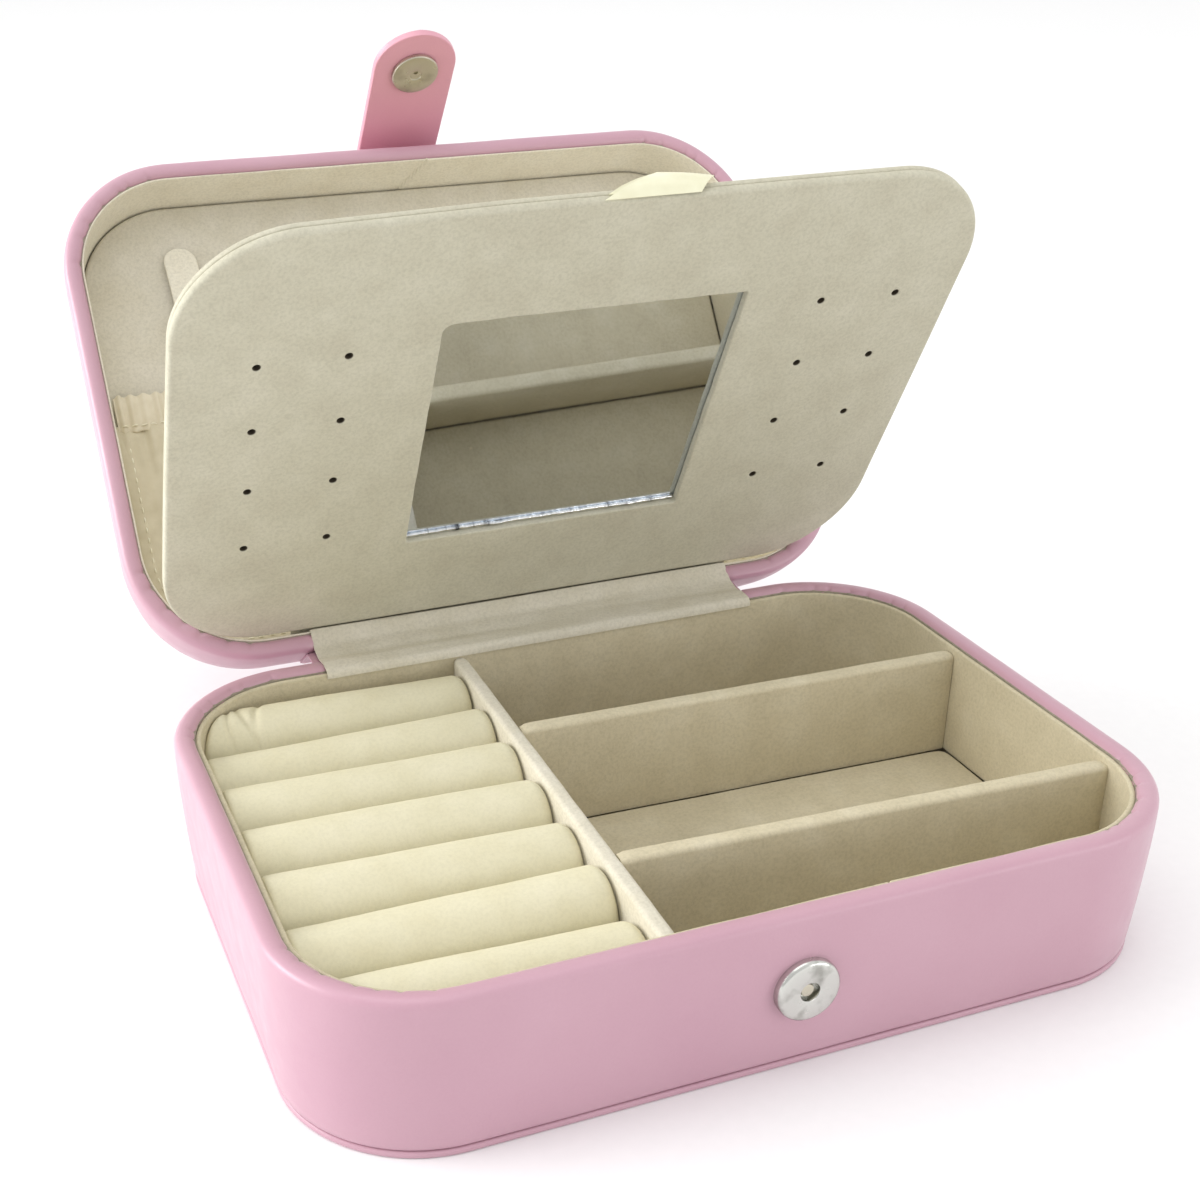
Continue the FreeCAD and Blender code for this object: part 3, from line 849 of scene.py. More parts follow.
RIGHT = cut(LONG, LONG_HALF, -1)
FLOORS = {
    "floor_rear": [RIGHT, cut(CROSS[0], CROSS_HALF, 1)],
    "floor_middle": [RIGHT, cut(CROSS[0], CROSS_HALF, -1), cut(CROSS[1], CROSS_HALF, 1)],
    "floor_front": [RIGHT, cut(CROSS[1], CROSS_HALF, -1)],
    "floor_rolls": [cut(LONG, LONG_HALF, 1)],
}
for k, (name, cuts) in enumerate(FLOORS.items()):
    pad = place(floor_pad(name, cuts, seed=31 + k), "tray", SUEDE, ["floor_pad"] if k == 0 else [])


# ---- ring rolls

END_ROLL_Y, END_ROLL_R = 54.9, 9.05     # the two rolls whose far sides the tray's walls cut off
# How far the top of each roll sinks at its left and right end
SLUMP = {1: (0.6, 1.9), 2: (2.6, 2.1), 3: (0.3, 1.9), 4: (0.1, 1.8), 5: (0.4, 2.4), 6: (1.5, 1.9),
         7: (1.7, 3.8)}


def ring_roll(number):
    node = "ring_roll_%d" % number
    lo, hi = span(node)
    y0, r = (lo[1] + hi[1]) / 2, (hi[1] - lo[1]) / 2
    if number in (1, 7):
        y0, r = copysign(END_ROLL_Y, y0), END_ROLL_R
    r -= 0.12
    base, top = FLOOR + 0.2, hi[2]
    mid = top - r
    hem = [(y0 - r + 1.3, base), (y0 - r + 0.5, base + 3), (y0 - r, base + 8)]
    arch = [(y0 - r * cos(a), mid + r * sin(a)) for a in arc(0, 180, 41)]
    section = np.array(hem + arch + [(2 * y0 - y, z) for y, z in hem[::-1]])
    room_w, room_d = (size / 2 - TRAY_WALL - LINING - 0.35 for size in (RIM_W, RIM_D))
    room_r = 25.4
    ends_x, ends_y = np.array(LONG).T
    y_all = np.clip(section[:, 0], -room_d + 0.02, room_d - 0.02)
    section[:, 0] = y_all
    over = np.clip(np.abs(y_all) - (room_d - room_r), 0, room_r - 0.01)
    left = -room_w + room_r - np.sqrt(room_r ** 2 - over ** 2)
    right = np.interp(y_all, ends_y, ends_x) - LONG_HALF - 0.02
    core = np.linspace(0, 1, 46)[1:-1] * 0.92 + 0.04
    if number == 1:
        core = np.concatenate([np.linspace(0.045, 0.2, 44), np.linspace(0.22, 0.955, 38)])
    t_all = np.concatenate([np.linspace(0, 0.04, 9), core, np.linspace(0.96, 1, 12)])
    centre = np.array([y0, mid - 4])
    rings = []
    for t in t_all:
        x = left + (right - left) * t
        length = (right - left).mean()
        near_l, near_r = t * length, (1 - t) * length
        pull = 0.0
        for near, size in ((near_l, 1.5), (near_r, 2.7)):
            if near < size:
                pull = max(pull, size * (1 - sqrt(max(0.0, 1 - ((size - near) / size) ** 2))))
        d = section - centre
        away = np.linalg.norm(d, axis=1)[:, None]
        low = smooth((section[:, 1:] - base) / 10) * 0.75 + 0.25
        rings.append(np.column_stack([x, section - d / away * pull * low]))
    rings = np.array(rings)
    swell = 0.26 * wobble(rings * [0.6, 1, 1], 18, 40 + number) + 0.07 * wobble(rings, 4.5, 50 + number)
    d = rings[..., 1:] - centre
    rings[..., 1:] += d / np.linalg.norm(d, axis=-1)[..., None] * (swell - 0.12)[..., None]
    if number == 1:
        x, y = rings[..., 0], rings[..., 1] - y0
        for at, bend, width, deep in ((-85.5, 0.22, 0.7, 0.8), (-82.2, -0.2, 0.8, 0.75),
                                      (-78.6, 0.3, 0.9, 0.6)):
            fold = np.exp(-((x - at - bend * y - 0.02 * y * y) / width) ** 2) * deep
            rings[..., 2] -= fold * smooth((rings[..., 2] - mid + 2) / 5)
    slump = SLUMP[number][0] + (SLUMP[number][1] - SLUMP[number][0]) * t_all[:, None]
    rings[..., 2] -= slump * smooth((rings[..., 2] - base) / (top - base))
    return loft("ring_roll_soft_%d" % number, rings, caps=True)


for number in range(1, 8):
    place(ring_roll(number), "tray", ROLL, ["ring_roll_%d" % number])


# ---- tray snap

S_LO, S_HI = span("tray_snap_disc")
SNAP = ((S_LO[0] + S_HI[0]) / 2, S_LO[1], (S_LO[2] + S_HI[2]) / 2)
SNAP_R = (S_HI[0] - S_LO[0]) / 2
front = (0, -1, 0)
cap = [(SNAP_R - 0.5, -2.9), (SNAP_R, -2.5), (SNAP_R + 0.05, -0.95), (SNAP_R - 0.15, -0.4),
       (SNAP_R - 0.55, -0.1), (SNAP_R - 1.1, -0.02), (4.6, 0.02), (2.5, 0.0), (2.2, -0.06), (2.08, -0.3),
       (2.04, -1.9), (0.0, -1.95)]
place(lathe("snap_cap", cap, SNAP, front), "tray", NICKEL, ["tray_snap_disc", "tray_snap_rivet"])
post = [(1.5, -1.94), (1.48, -0.75), (1.36, -0.48), (1.0, -0.4), (0.5, -0.44), (0.0, -0.46)]
place(lathe("snap_rivet_post", post, Vector(SNAP) + Vector((-0.42, 0, 0.3)), front), "tray",
      NICKEL_DULL)


# ---- lid: leather, lining and back panel

def lid_shell():
    rim, top = L_LO[2], L_HI[2]
    w = LID_WALL
    inner = [(-w, rim + 4.4), (-w, rim + 3.2)]
    crest = half_round(-w / 2, w / 2, rim, 2.3, up=-1)
    rise = np.linspace(0, 1, 14)
    outer = [(-FOOT_IN * k ** 1.2 + 0.35 * sin(pi * k), rim + 2.6 + (top - 3.2 - rim - 2.6) * k)
             for k in rise]
    edge = [(-FOOT_IN - 3.2 + 3.2 * cos(a), top - 3.2 + 3.2 * sin(a)) for a in arc(12, 90, 8)]
    flat = [(-9.0, top + 0.12), (-14.0, top + 0.22), (-20.0, top + 0.3)]
    back = [(-20.0, top - 1.5), (-6.5, top - 1.5), (-3.4, top - 3.2), (-1.3, rim + 6), (-1.2, rim + 2.8),
            (-w / 2, rim + 1.1), (-w + 1.1, rim + 2.8), (-w + 1.1, rim + 4.4)]
    section = inner + crest + outer + edge + flat
    weight = np.zeros(len(section) + len(back))
    n = len(inner)
    for k in range(len(crest)):
        weight[n + k] = 0.85 * smooth((1 - k / len(crest) - 0.45) / 0.3)
    weight[:n] = (0, 0.4)
    rings = wall(RIM_LINE, section + back, corner_puckers(RIM_LINE, 7, 9), weight)
    seen = len(section)
    soft = skin(rings[:seen], 12)[..., None]
    rings[:seen, :, :2] += RIM_LINE[1] * soft * (rings[:seen, :, 2:3] < top - 1.5)
    rings[:seen, :, 2] += 0.12 * wobble(rings[:seen], 30, 17) * (rings[:seen, :, 2] > top - 1.5)
    rings[..., 2] += RIM_PRESS * under_strip(rings) * smooth((rim + 4.5 - rings[..., 2]) / 3)
    lap = rings[seen - 1]
    cover = [lap * [f, f, 1] + [0, 0, 0.3 * (1 - f)] for f in (0.9, 0.75, 0.6, 0.45, 0.3, 0.15, 0.04)]
    under = [rings[seen] * [f, f, 1] for f in (0.04, 0.3, 0.6, 0.85)]
    ordered = cover[::-1] + list(rings[:seen][::-1]) + list(rings[seen:][::-1]) + under[::-1]
    return loft("lid_leather_wrap", np.array(ordered), LID, caps=True)


place(lid_shell(), "lid", PINK, ["lid_leather"])
# Lid band in the paler suede: painted light on it.
place(lining_band("lid_lining_band", LID_WALL, 0.5, BAND_LO[2] - 0.45, BAND_HI[2], LID, 61, (5, -6),
                  up=False),
      "lid", SUEDE_PALE_AND_LIT, ["lid_wall_lining"])

B_LO, B_HI = span("lid_back_panel", LID)
BACK = outline(B_HI[0] - B_LO[0], B_HI[1] - B_LO[1], RIM_R - LID_WALL - 0.9, turn=40)


def ripple(size, depth, seed):
    def shape(v):
        v = v.copy()
        v[:, 2] += depth * wobble(v * [1, 1, 0], size, seed)
        return v
    return shape


place(board("lid_back_board", BACK, B_LO[2], B_HI[2], 0.9, 0.2, LID, spacing=4, shape=ripple(24, 0.14, 63)),
      "lid", SUEDE_LIGHT, ["lid_back_panel"])


# ---- pocket and keeper strap

P_LO, P_HI = span("lid_pocket", LID)
H_LO, H_HI = span("lid_pocket_hem", LID)
K_LO, K_HI = span("necklace_keeper", LID)


def pocket_limit(y, margin):
    """Half width of the pocket at depth y, inside the lid's rounded corners."""
    w, d, r = P_HI[0] - margin, P_HI[1] - margin, RIM_R - LID_WALL - 1.4 - margin
    over = np.clip(np.asarray(y, float) - (d - r), 0, r)
    return w - r + np.sqrt(np.maximum(r * r - over * over, 0.0))


def gathers(x, y, seed):
    """Folds that run away from an elastic edge: height at x, y, about -1 to 1."""
    x, y = np.broadcast_arrays(x, y)
    long_folds = wobble(np.stack([x, y * 0.06, x * 0], -1), 4.2, seed)
    short_folds = wobble(np.stack([x, y * 0.12, x * 0], -1), 2.1, seed + 1)
    return long_folds, short_folds


def pocket_sheet():
    top = P_LO[1] - 2.0
    depth = P_HI[1] - 0.6 - top
    v = np.linspace(0, 1, 64)[:, None]
    u = np.linspace(-1, 1, 300)[None, :]
    y = top + depth * v
    x = u * pocket_limit(y, 0.4)
    long_folds, short_folds = gathers(x, y, 71)
    fade = 1 - smooth(v / 0.75)
    edge = smooth((1 - np.abs(u)) / 0.05)
    belly = 1.5 * np.sin(pi * v) ** 0.8 * (1 - u ** 4)
    pleats = hem_pleats(x + 4 * (1 - fade) * long_folds)
    z = P_HI[2] - 0.9 - belly - edge * (fade * (1.5 * long_folds + 0.3 * short_folds) + 0.22 * long_folds)
    z = z - edge * 0.55 * (1 - smooth(v / 0.3)) * pleats
    z = z - 0.25 * smooth((v - 0.02) / 0.03) * (1 - smooth((v - 0.05) / 0.1))
    front = np.stack([x, np.broadcast_to(y, x.shape), z - 0.2], -1)
    return slab("pocket_cloth", front, front + [0, 0, 0.4], LID)


def hem_pleats(x):
    """Close folds of the elastic hem, about -1 to 1 along its length."""
    line = np.stack([x, x * 0, x * 0], -1)
    turns = x / 3.1 + 0.9 * wobble(line, 9, 75)
    return np.sin(2 * pi * turns) * (0.75 + 0.5 * wobble(line, 6, 76)) + 0.2 * wobble(line, 1.2, 77)


def pocket_hem():
    x = np.linspace(-pocket_limit(0, 1.2), pocket_limit(0, 1.2), 620)
    folds = hem_pleats(x)
    y0, y1 = H_LO[1], H_HI[1]
    zc = (H_LO[2] + H_HI[2]) / 2
    rings = []
    for a in circle(26):
        across, lift = squared(cos(a), 0.7), squared(sin(a), 0.8)
        y = (y0 + y1) / 2 + across * (y1 - y0) / 2 + 0.45 * folds * across
        pinch = 1 - 0.35 * exp(-((across - 0.72) / 0.16) ** 2)
        z = zc + lift * 0.8 * pinch - folds * (0.62 if lift < 0 else 0.3) * (1 - 0.3 * abs(across))
        rings.append(np.stack([x, y, z], -1))
    return loft("pocket_hem_ruffle", np.array(rings).transpose(1, 0, 2), LID, caps=True)


cloth = place(pocket_sheet(), "lid", SATIN, ["lid_pocket"])
hem = place(pocket_hem(), "lid", SATIN_HEM, ["lid_pocket_hem"])

seam_x = np.linspace(-pocket_limit(0, 2.2), pocket_limit(0, 2.2), 400)
seam_folds = hem_pleats(seam_x)
hem_seam = np.stack([seam_x, np.full(400, H_HI[1] - 1.6),
                     (H_LO[2] + H_HI[2]) / 2 - 0.72 - 0.5 * seam_folds], -1)
hem_stitch = place(stitches("pocket_hem_stitches", hem_seam, LID, 1.9, 0.8, 0.2, (0, 0, -0.12)), "lid",
                   STITCH)


def pocket_border():
    """Turned edge of the pocket, sewn down along both sides and the bottom."""
    y = np.linspace(P_LO[1] + 1.5, P_HI[1] - 9, 60)
    line = [(-pocket_limit(v, 2.0), v) for v in y]
    line += [(x, P_HI[1] - 2.2) for x in np.linspace(line[-1][0] + 6, -line[-1][0] - 6, 90)]
    line += [(pocket_limit(v, 2.0), v) for v in y[::-1]]
    return np.array([(x, v, P_HI[2] - 1.0) for x, v in line])


border = pocket_border()


def piping(name, path, half_w, half_t, seed):
    """Flat folded edge along a path that lies across Z."""
    path = np.asarray(path)
    t = np.gradient(path[:, :2], axis=0)
    t = unit(t)
    side = np.column_stack([-t[:, 1], t[:, 0]])
    swell = 1 + 0.12 * wobble(path, 5, seed)
    rings = []
    for a in circle(14):
        c, s = cos(a), sin(a)
        flat = squared(c, 0.7) * half_w * swell
        rings.append(np.column_stack([path[:, :2] + side * flat[:, None], path[:, 2] + s * half_t * swell]))
    return loft(name, np.array(rings).transpose(1, 0, 2), LID, caps=True)


edge_tape = place(piping("pocket_border", border, 1.9, 0.45, 81), "lid", SATIN)
inner_line = border.copy()
inner_line[:, 2] -= 0.5
inner_line[:, :2] *= 0.988
edge_stitch = place(stitches("pocket_border_stitches", inner_line, LID, 1.7, 1.1, 0.2, (0, 0, -0.12)),
                    "lid", STITCH)


def keeper():
    lo, hi = K_LO, K_HI
    w, length = hi[0] - lo[0], hi[1] - lo[1]
    r = w / 2
    radii = (1.3, 1.3, r - 0.02, r - 0.02)
    pos, nrm = uneven_outline(w, length, radii)
    centre = np.array([(lo[0] + hi[0]) / 2, (lo[1] + hi[1]) / 2])

    def shape(v):
        v = v.copy()
        t = (v[:, 1] - lo[1]) / length
        v[:, 2] -= 2.3 * np.sin(np.clip((t + 0.12) / 0.98, 0, 1) * pi) ** 1.5 + 0.15
        v[:, 2] += 0.1 * wobble(v, 9, 88)
        v[:, 0] += 1.2 + 0.4 * np.sin(t * 2.4)
        return v
    return board("necklace_keeper_strap", (pos + centre, nrm), lo[2], hi[2], 0.35, 0.3, LID, spacing=1.8,
                 shape=shape)


def uneven_outline(width, depth, radii, turn=12, step=1.2):
    """Rectangle centred on 0 whose corners (+,+), (-,+), (-,-), (+,-) have their own radii."""
    pos, nrm = [], []
    signs = ((1, 1, 0), (-1, 1, 90), (-1, -1, 180), (1, -1, 270))
    for k, (sx, sy, a) in enumerate(signs):
        r = radii[k]
        c = Vector((sx * (width / 2 - r), sy * (depth / 2 - r)))
        for t in arc(a, a + 90, turn):
            nrm.append((cos(t), sin(t)))
            pos.append((c.x + r * nrm[-1][0], c.y + r * nrm[-1][1]))
        nsx, nsy, _ = signs[(k + 1) % 4]
        nr, d = radii[(k + 1) % 4], nrm[-1]
        q = Vector((nsx * (width / 2 - nr) + nr * d[0], nsy * (depth / 2 - nr) + nr * d[1]))
        p = Vector(pos[-1])
        n = max(1, int((q - p).length / step))
        for j in range(1, n):
            pos.append(tuple(p.lerp(q, j / n)))
            nrm.append(d)
    return np.array(pos), np.array(nrm)


place(keeper(), "lid", SUEDE_PALE_AND_LIT, ["necklace_keeper"])


# ---- mirror panel

F_LO, F_HI = span("panel_front", PANEL)
R_LO, R_HI = span("panel_back", PANEL)
G_LO, G_HI = span("mirror_glass", PANEL)
GLASS_LAP = 2.0
PANEL_MID = np.array([(F_LO[0] + F_HI[0]) / 2, (F_LO[1] + F_HI[1]) / 2])
GLASS_MID = np.array([(G_LO[0] + G_HI[0]) / 2, (G_LO[1] + G_HI[1]) / 2])
WINDOW = (G_HI[0] - G_LO[0] - 2 * GLASS_LAP, G_HI[1] - G_LO[1] - 2 * GLASS_LAP)
HOLE_R, HOLE_X, HOLE_Y = 0.9, (57.3, 77.4), (-29.5, -9.85, 9.85, 29.5)


def ring_hole(x, y, r, n=18):
    a = circle(n)
    d = np.column_stack([np.cos(a), np.sin(a)])
    return d * r + (x, y), -d


HOLES = [ring_hole(GLASS_MID[0] + s * hx, hy - 0.4, HOLE_R - 0.05) for s in (-1, 1) for hx in HOLE_X
         for hy in HOLE_Y]


def hole_shade_mask(look):
    """1 on the walls of the sixteen holes, 0 elsewhere, marking where painted shade darkens them: the panel
    folded four times onto one hole.
    """
    back = PANEL.inverted()
    turned = look.add("ShaderNodeMapping", [("Vector", look.coords)], Rotation=back.to_euler(),
                      Location=back.translation * MM)
    split = look.add("ShaderNodeSeparateXYZ", [("Vector", turned.outputs[0])])
    ends = []
    for axis, middle, places in ((0, GLASS_MID[0], HOLE_X), (1, -0.4, HOLE_Y[2:])):
        value = split.outputs[axis]
        for centre in (middle, sum(places) / 2, (places[1] - places[0]) / 2):
            less = look.add("ShaderNodeMath", [(0, value)], operation="SUBTRACT")
            less.inputs[1].default_value = centre * MM
            value = look.add("ShaderNodeMath", [(0, less.outputs[0])], operation="ABSOLUTE").outputs[0]
        ends.append(value)
    flat = look.add("ShaderNodeCombineXYZ", [("X", ends[0]), ("Y", ends[1])])
    away = look.add("ShaderNodeVectorMath", [("Vector", flat.outputs[0])],
                    operation="LENGTH").outputs["Value"]
    return look.scale(away, 1.0, 0.0, (HOLE_R - 0.04) * MM, (HOLE_R + 0.1) * MM)


# Panel suede with painted shade on the walls of its sixteen holes.
SUEDE_PANEL = suede("panel_suede", srgb(190, 185, 166), srgb(196, 192, 173), srgb(202, 198, 180),
                    hole_shade=hole_shade_mask)
F_W, F_D = F_HI[0] - F_LO[0], F_HI[1] - F_LO[1]


def warped(size, depth, seed):
    """The panel's slight waviness, and its upper left corner bent a little towards the tray."""
    wave = ripple(size, depth, seed)

    def shape(v):
        v = wave(v)
        left = smooth((PANEL_MID[0] - 12 - v[:, 0]) / (F_W / 2))
        upper = smooth((PANEL_MID[1] + 20 - v[:, 1]) / (F_D / 2 + 20))
        v[:, 2] -= 2.6 * left * upper
        return v
    return shape


def panel_outline(inset):
    pos, nrm = outline(F_W - 2 * inset, F_D - 2 * inset, 26.4 - inset, turn=44)
    return pos + PANEL_MID, nrm


win, win_n = uneven_outline(WINDOW[0], WINDOW[1], (0.7, 0.9, 2.6, 0.6))
soft_x = 0.12 * wobble(np.column_stack([win, win[:, :1] * 0]), 6, 90)
window = (win + GLASS_MID - win_n * soft_x[:, None], -win_n)
place(board("panel_front_board", panel_outline(0), F_LO[2], F_HI[2], 0.95, 0.5, PANEL, [window] + HOLES,
            0.4, 2.6,
            warped(30, 0.16, 91)), "mirror_panel", SUEDE_PANEL, ["panel_front"])
pocket_cut = uneven_outline(G_HI[0] - G_LO[0] + 0.4, G_HI[1] - G_LO[1] + 0.4, (1, 1, 1, 1))
glass_cut = (pocket_cut[0] + GLASS_MID, -pocket_cut[1])
BACK_SKIN = 0.35
place(board("panel_back_board", panel_outline(0.15), R_LO[2] + 0.05, R_HI[2] - BACK_SKIN, 0.5, 0.5, PANEL,
            [glass_cut] + HOLES, 0.1, 3.5, warped(30, 0.16, 91)), "mirror_panel", SUEDE_PANEL,
      ["panel_back"])
place(board("panel_back_cover", panel_outline(1.0), R_HI[2] - BACK_SKIN + 0.02, R_HI[2], 0.0, 0.3, PANEL,
            HOLES, 0.1, 3.5,
            warped(30, 0.16, 91)), "mirror_panel", SUEDE_LIGHT)


def mirror_plate():
    w, d = G_HI[0] - G_LO[0] - 0.6, G_HI[1] - G_LO[1] - GLASS_LAP - 0.6
    edge = uneven_outline(w, d, (1.3, 1.3, 1.3, 1.3))
    centre = GLASS_MID - (0, GLASS_LAP / 2)
    return board("mirror_plate", (edge[0] + centre, edge[1]), G_LO[2] + 0.12, G_HI[2] - 0.1, 0.5, 0.1,
                 PANEL, spacing=12)


place(mirror_plate(), "mirror_panel", MIRROR, ["mirror_glass"])


def mirror_edge():
    """Ground edge of the mirror, seen as a bright uneven line along the bottom of its window."""
    x = np.linspace(GLASS_MID[0] - WINDOW[0] / 2 + 0.1, GLASS_MID[0] + WINDOW[0] / 2 - 0.1, 160)
    y = GLASS_MID[1] + WINDOW[1] / 2 - 0.62
    chip = 0.16 * wobble(on_x(x), 4.5, 95) + 0.06 * wobble(on_x(x), 1.2, 96)
    rings = []
    for a in circle(16):
        ry, rz = 0.56 * cos(a), 0.5 * sin(a)
        rings.append(np.column_stack([x, y + ry + chip * cos(a), F_HI[2] - 0.25 + rz + chip]))
    return loft("mirror_ground_edge", np.array(rings).transpose(1, 0, 2), PANEL, caps=True)


place(mirror_edge(), "mirror_panel", GROUND)


# ---- ribbon pull

U_LO, U_HI = span("ribbon_pull", PANEL)


def ribbon():
    """Short loop of ribbon caught between the panel's two boards, lying over the top edge, open at its left."""
    edge = F_LO[1]
    z0, z1 = F_LO[2], R_HI[2]
    mid_z = F_HI[2]
    left = [(U_LO[0] - 1.4, edge - 0.5, z0 - 0.3), (U_LO[0] + 3.0, edge - 1.7, z0 + 1.6),
            (U_LO[0] + 8.6, edge - 2.0, z0 + 4.0),
            (U_LO[0] + 13.4, edge - 1.2, z1 + 2.4), (U_LO[0] + 8.6, edge - 0.6, z1 + 1.7),
            (U_LO[0] + 3.8, edge - 0.4, z1 - 0.2),
            (U_LO[0] + 0.2, edge - 0.25, mid_z - 0.4)]
    right = [(U_HI[0] + 0.8, edge - 0.5, z0 - 0.2), (U_HI[0] + 2.2, edge - 1.5, z0 + 1.1),
             (U_HI[0] + 4.0, edge - 1.6, z0 + 2.8),
             (U_HI[0] + 5.6, edge - 0.9, z1 + 0.2), (U_HI[0] + 4.4, edge - 0.5, z1 - 0.6),
             (U_HI[0] + 2.6, edge - 0.3, mid_z + 0.7),
             (U_HI[0] + 1.0, edge - 0.25, mid_z - 0.5)]
    t = np.linspace(0, 1, 56)
    curves = []
    for side in (left, right):
        side = np.array(side)
        at = run_length(side) / run_length(side)[-1]
        c = along(t, at, side)
        relax(c, 5)
        curves.append(c)
    w = np.linspace(0, 1, 26)[None, :, None]
    mid = curves[0][:, None] * (1 - w) + curves[1][:, None] * w
    mid[..., 1] -= 0.3 * np.sin(pi * w[..., 0]) * np.sin(pi * t)[:, None]
    normal = np.cross(np.gradient(mid, axis=0), np.gradient(mid, axis=1))
    normal = unit(normal)
    return slab("ribbon_loop", mid + normal * 0.14, mid - normal * 0.14, PANEL)


ribbon_piece = place(ribbon(), "mirror_panel", RIBBON, ["ribbon_pull"])
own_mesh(ribbon_piece)


# ---- hinges

def in_world(points, where):
    """(y, z) rows of the closed pose carried to the rest pose."""
    rows = moved([(0, y, z) for y, z in points], where)
    return [tuple(r[1:]) for r in rows]


def hinge_lining():
    top = STRAP_HI[2]
    y_in = STRAP_LO[1]
    lid_lo, lid_hi = span("lid_hinge_lining", LID)
    face = lid_lo[2] + 0.3
    tray_side = [(y_in + 0.3, top - 2.3), (y_in + 0.25, top - 1.1), (y_in + 0.9, top - 0.25),
                 (y_in + 3.2, top - 0.25),
                 (y_in + 6.0, top - 0.3), (LID_AXIS.y - 2.2, top - 0.45)]
    middle = [(LID_AXIS.y + 0.2, top - 0.25)]
    lid_side = in_world([(lid_hi[1] - 0.2, face), (lid_hi[1] - 2.6, face), (lid_lo[1] + 0.4, face),
                         (lid_lo[1] - 0.5, face + 0.1), (lid_lo[1] - 0.5, face + 0.6),
                         (lid_lo[1], face + 1.4),
                         (lid_lo[1], face + 3.4)], LID)
    path = tray_side + middle + lid_side
    piece = strip("hinge_lining_strip", path, STRAP_LO[0], STRAP_HI[0], 0.55, 0.5, 101)
    place(piece, None, SUEDE_LIGHT, ["tray_hinge_lining", "lid_hinge_lining"])
    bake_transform(piece)
    return piece, run_length(np.array(path))[-1]


lining_strip, lining_length = hinge_lining()


def wall_out(z):
    """Half depth of the case's outer wall at closed height z."""
    foot, rim, lid_rim, top = C_HI[2], T_HI[2], L_LO[2], L_HI[2]
    if z <= rim:
        return RIM_D / 2 - FOOT_IN * (1 - (z - foot) / (rim - foot))
    return RIM_D / 2 - FOOT_IN * (z - lid_rim) / (top - lid_rim)


def hinge_strap():
    lo, hi = span("tray_hinge_leather")
    lid_lo, lid_hi = span("lid_hinge_leather", LID)
    x0, x1 = lo[0], hi[0]
    tray_side = [(wall_out(z) + 0.65, z) for z in np.linspace(lo[2], LID_AXIS.z - 2.6, 12)]
    tray_side += [(wall_out(LID_AXIS.z) + 1.1, LID_AXIS.z - 1.5)]
    lid_side = in_world([(wall_out(z) + 0.65, z) for z in np.linspace(lid_lo[2], lid_hi[2], 10)], LID)
    middle = [(LID_AXIS.y + 0.4, LID_AXIS.z - 1.0), (LID_AXIS.y + 2.2, LID_AXIS.z - 1.05)]
    path = tray_side + middle + lid_side
    piece = strip("hinge_leather_strap", path, x0, x1, 1.05, 0.25, 103)
    place(piece, None, PINK, ["tray_hinge_leather", "lid_hinge_leather"])
    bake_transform(piece)
    for where, body, zs, tag in ((TRAY, "tray", lo[2] + 2.0, "tray"), (LID, "lid", lid_hi[2] - 2.0, "lid")):
        y = wall_out(zs) + 1.25
        line = [(x, y, zs) for x in np.linspace(x0 + 2, x1 - 2, 60)]
        seam = stitches("strap_stitches_" + tag, line, where, 2.6, 1.0, 0.24, (0, 0.12, 0))
        place(seam, body, THREAD)


hinge_strap()


def panel_tape():
    """Tape that joins the back of the panel to the lid's rear wall."""
    lo, hi = span("panel_hinge_tape", PANEL)
    z = (lo[2] + hi[2]) / 2
    wall_y = BAND_HI[1] - 0.5
    panel_side = in_world([(y, z) for y in np.linspace(lo[1], hi[1] + 0.6, 8)], PANEL)
    lid_side = in_world([(wall_y - 0.45, zz) for zz in np.linspace(L_LO[2] + 5.4, L_LO[2] + 12.5, 6)], LID)
    a, b = np.array(panel_side[-1]), np.array(lid_side[0])
    middle = [tuple(a + (b - a) * 0.35 + np.array([0.5, -0.3])),
              tuple(a + (b - a) * 0.7 + np.array([0.3, -0.2]))]
    path = panel_side + middle + lid_side
    piece = strip("panel_hinge_tape_cloth", path, lo[0], hi[0], 0.4, 0.2, 107)
    place(piece, None, SUEDE_LIGHT, ["panel_hinge_tape"])
    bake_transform(piece)


panel_tape()


# ---- tab

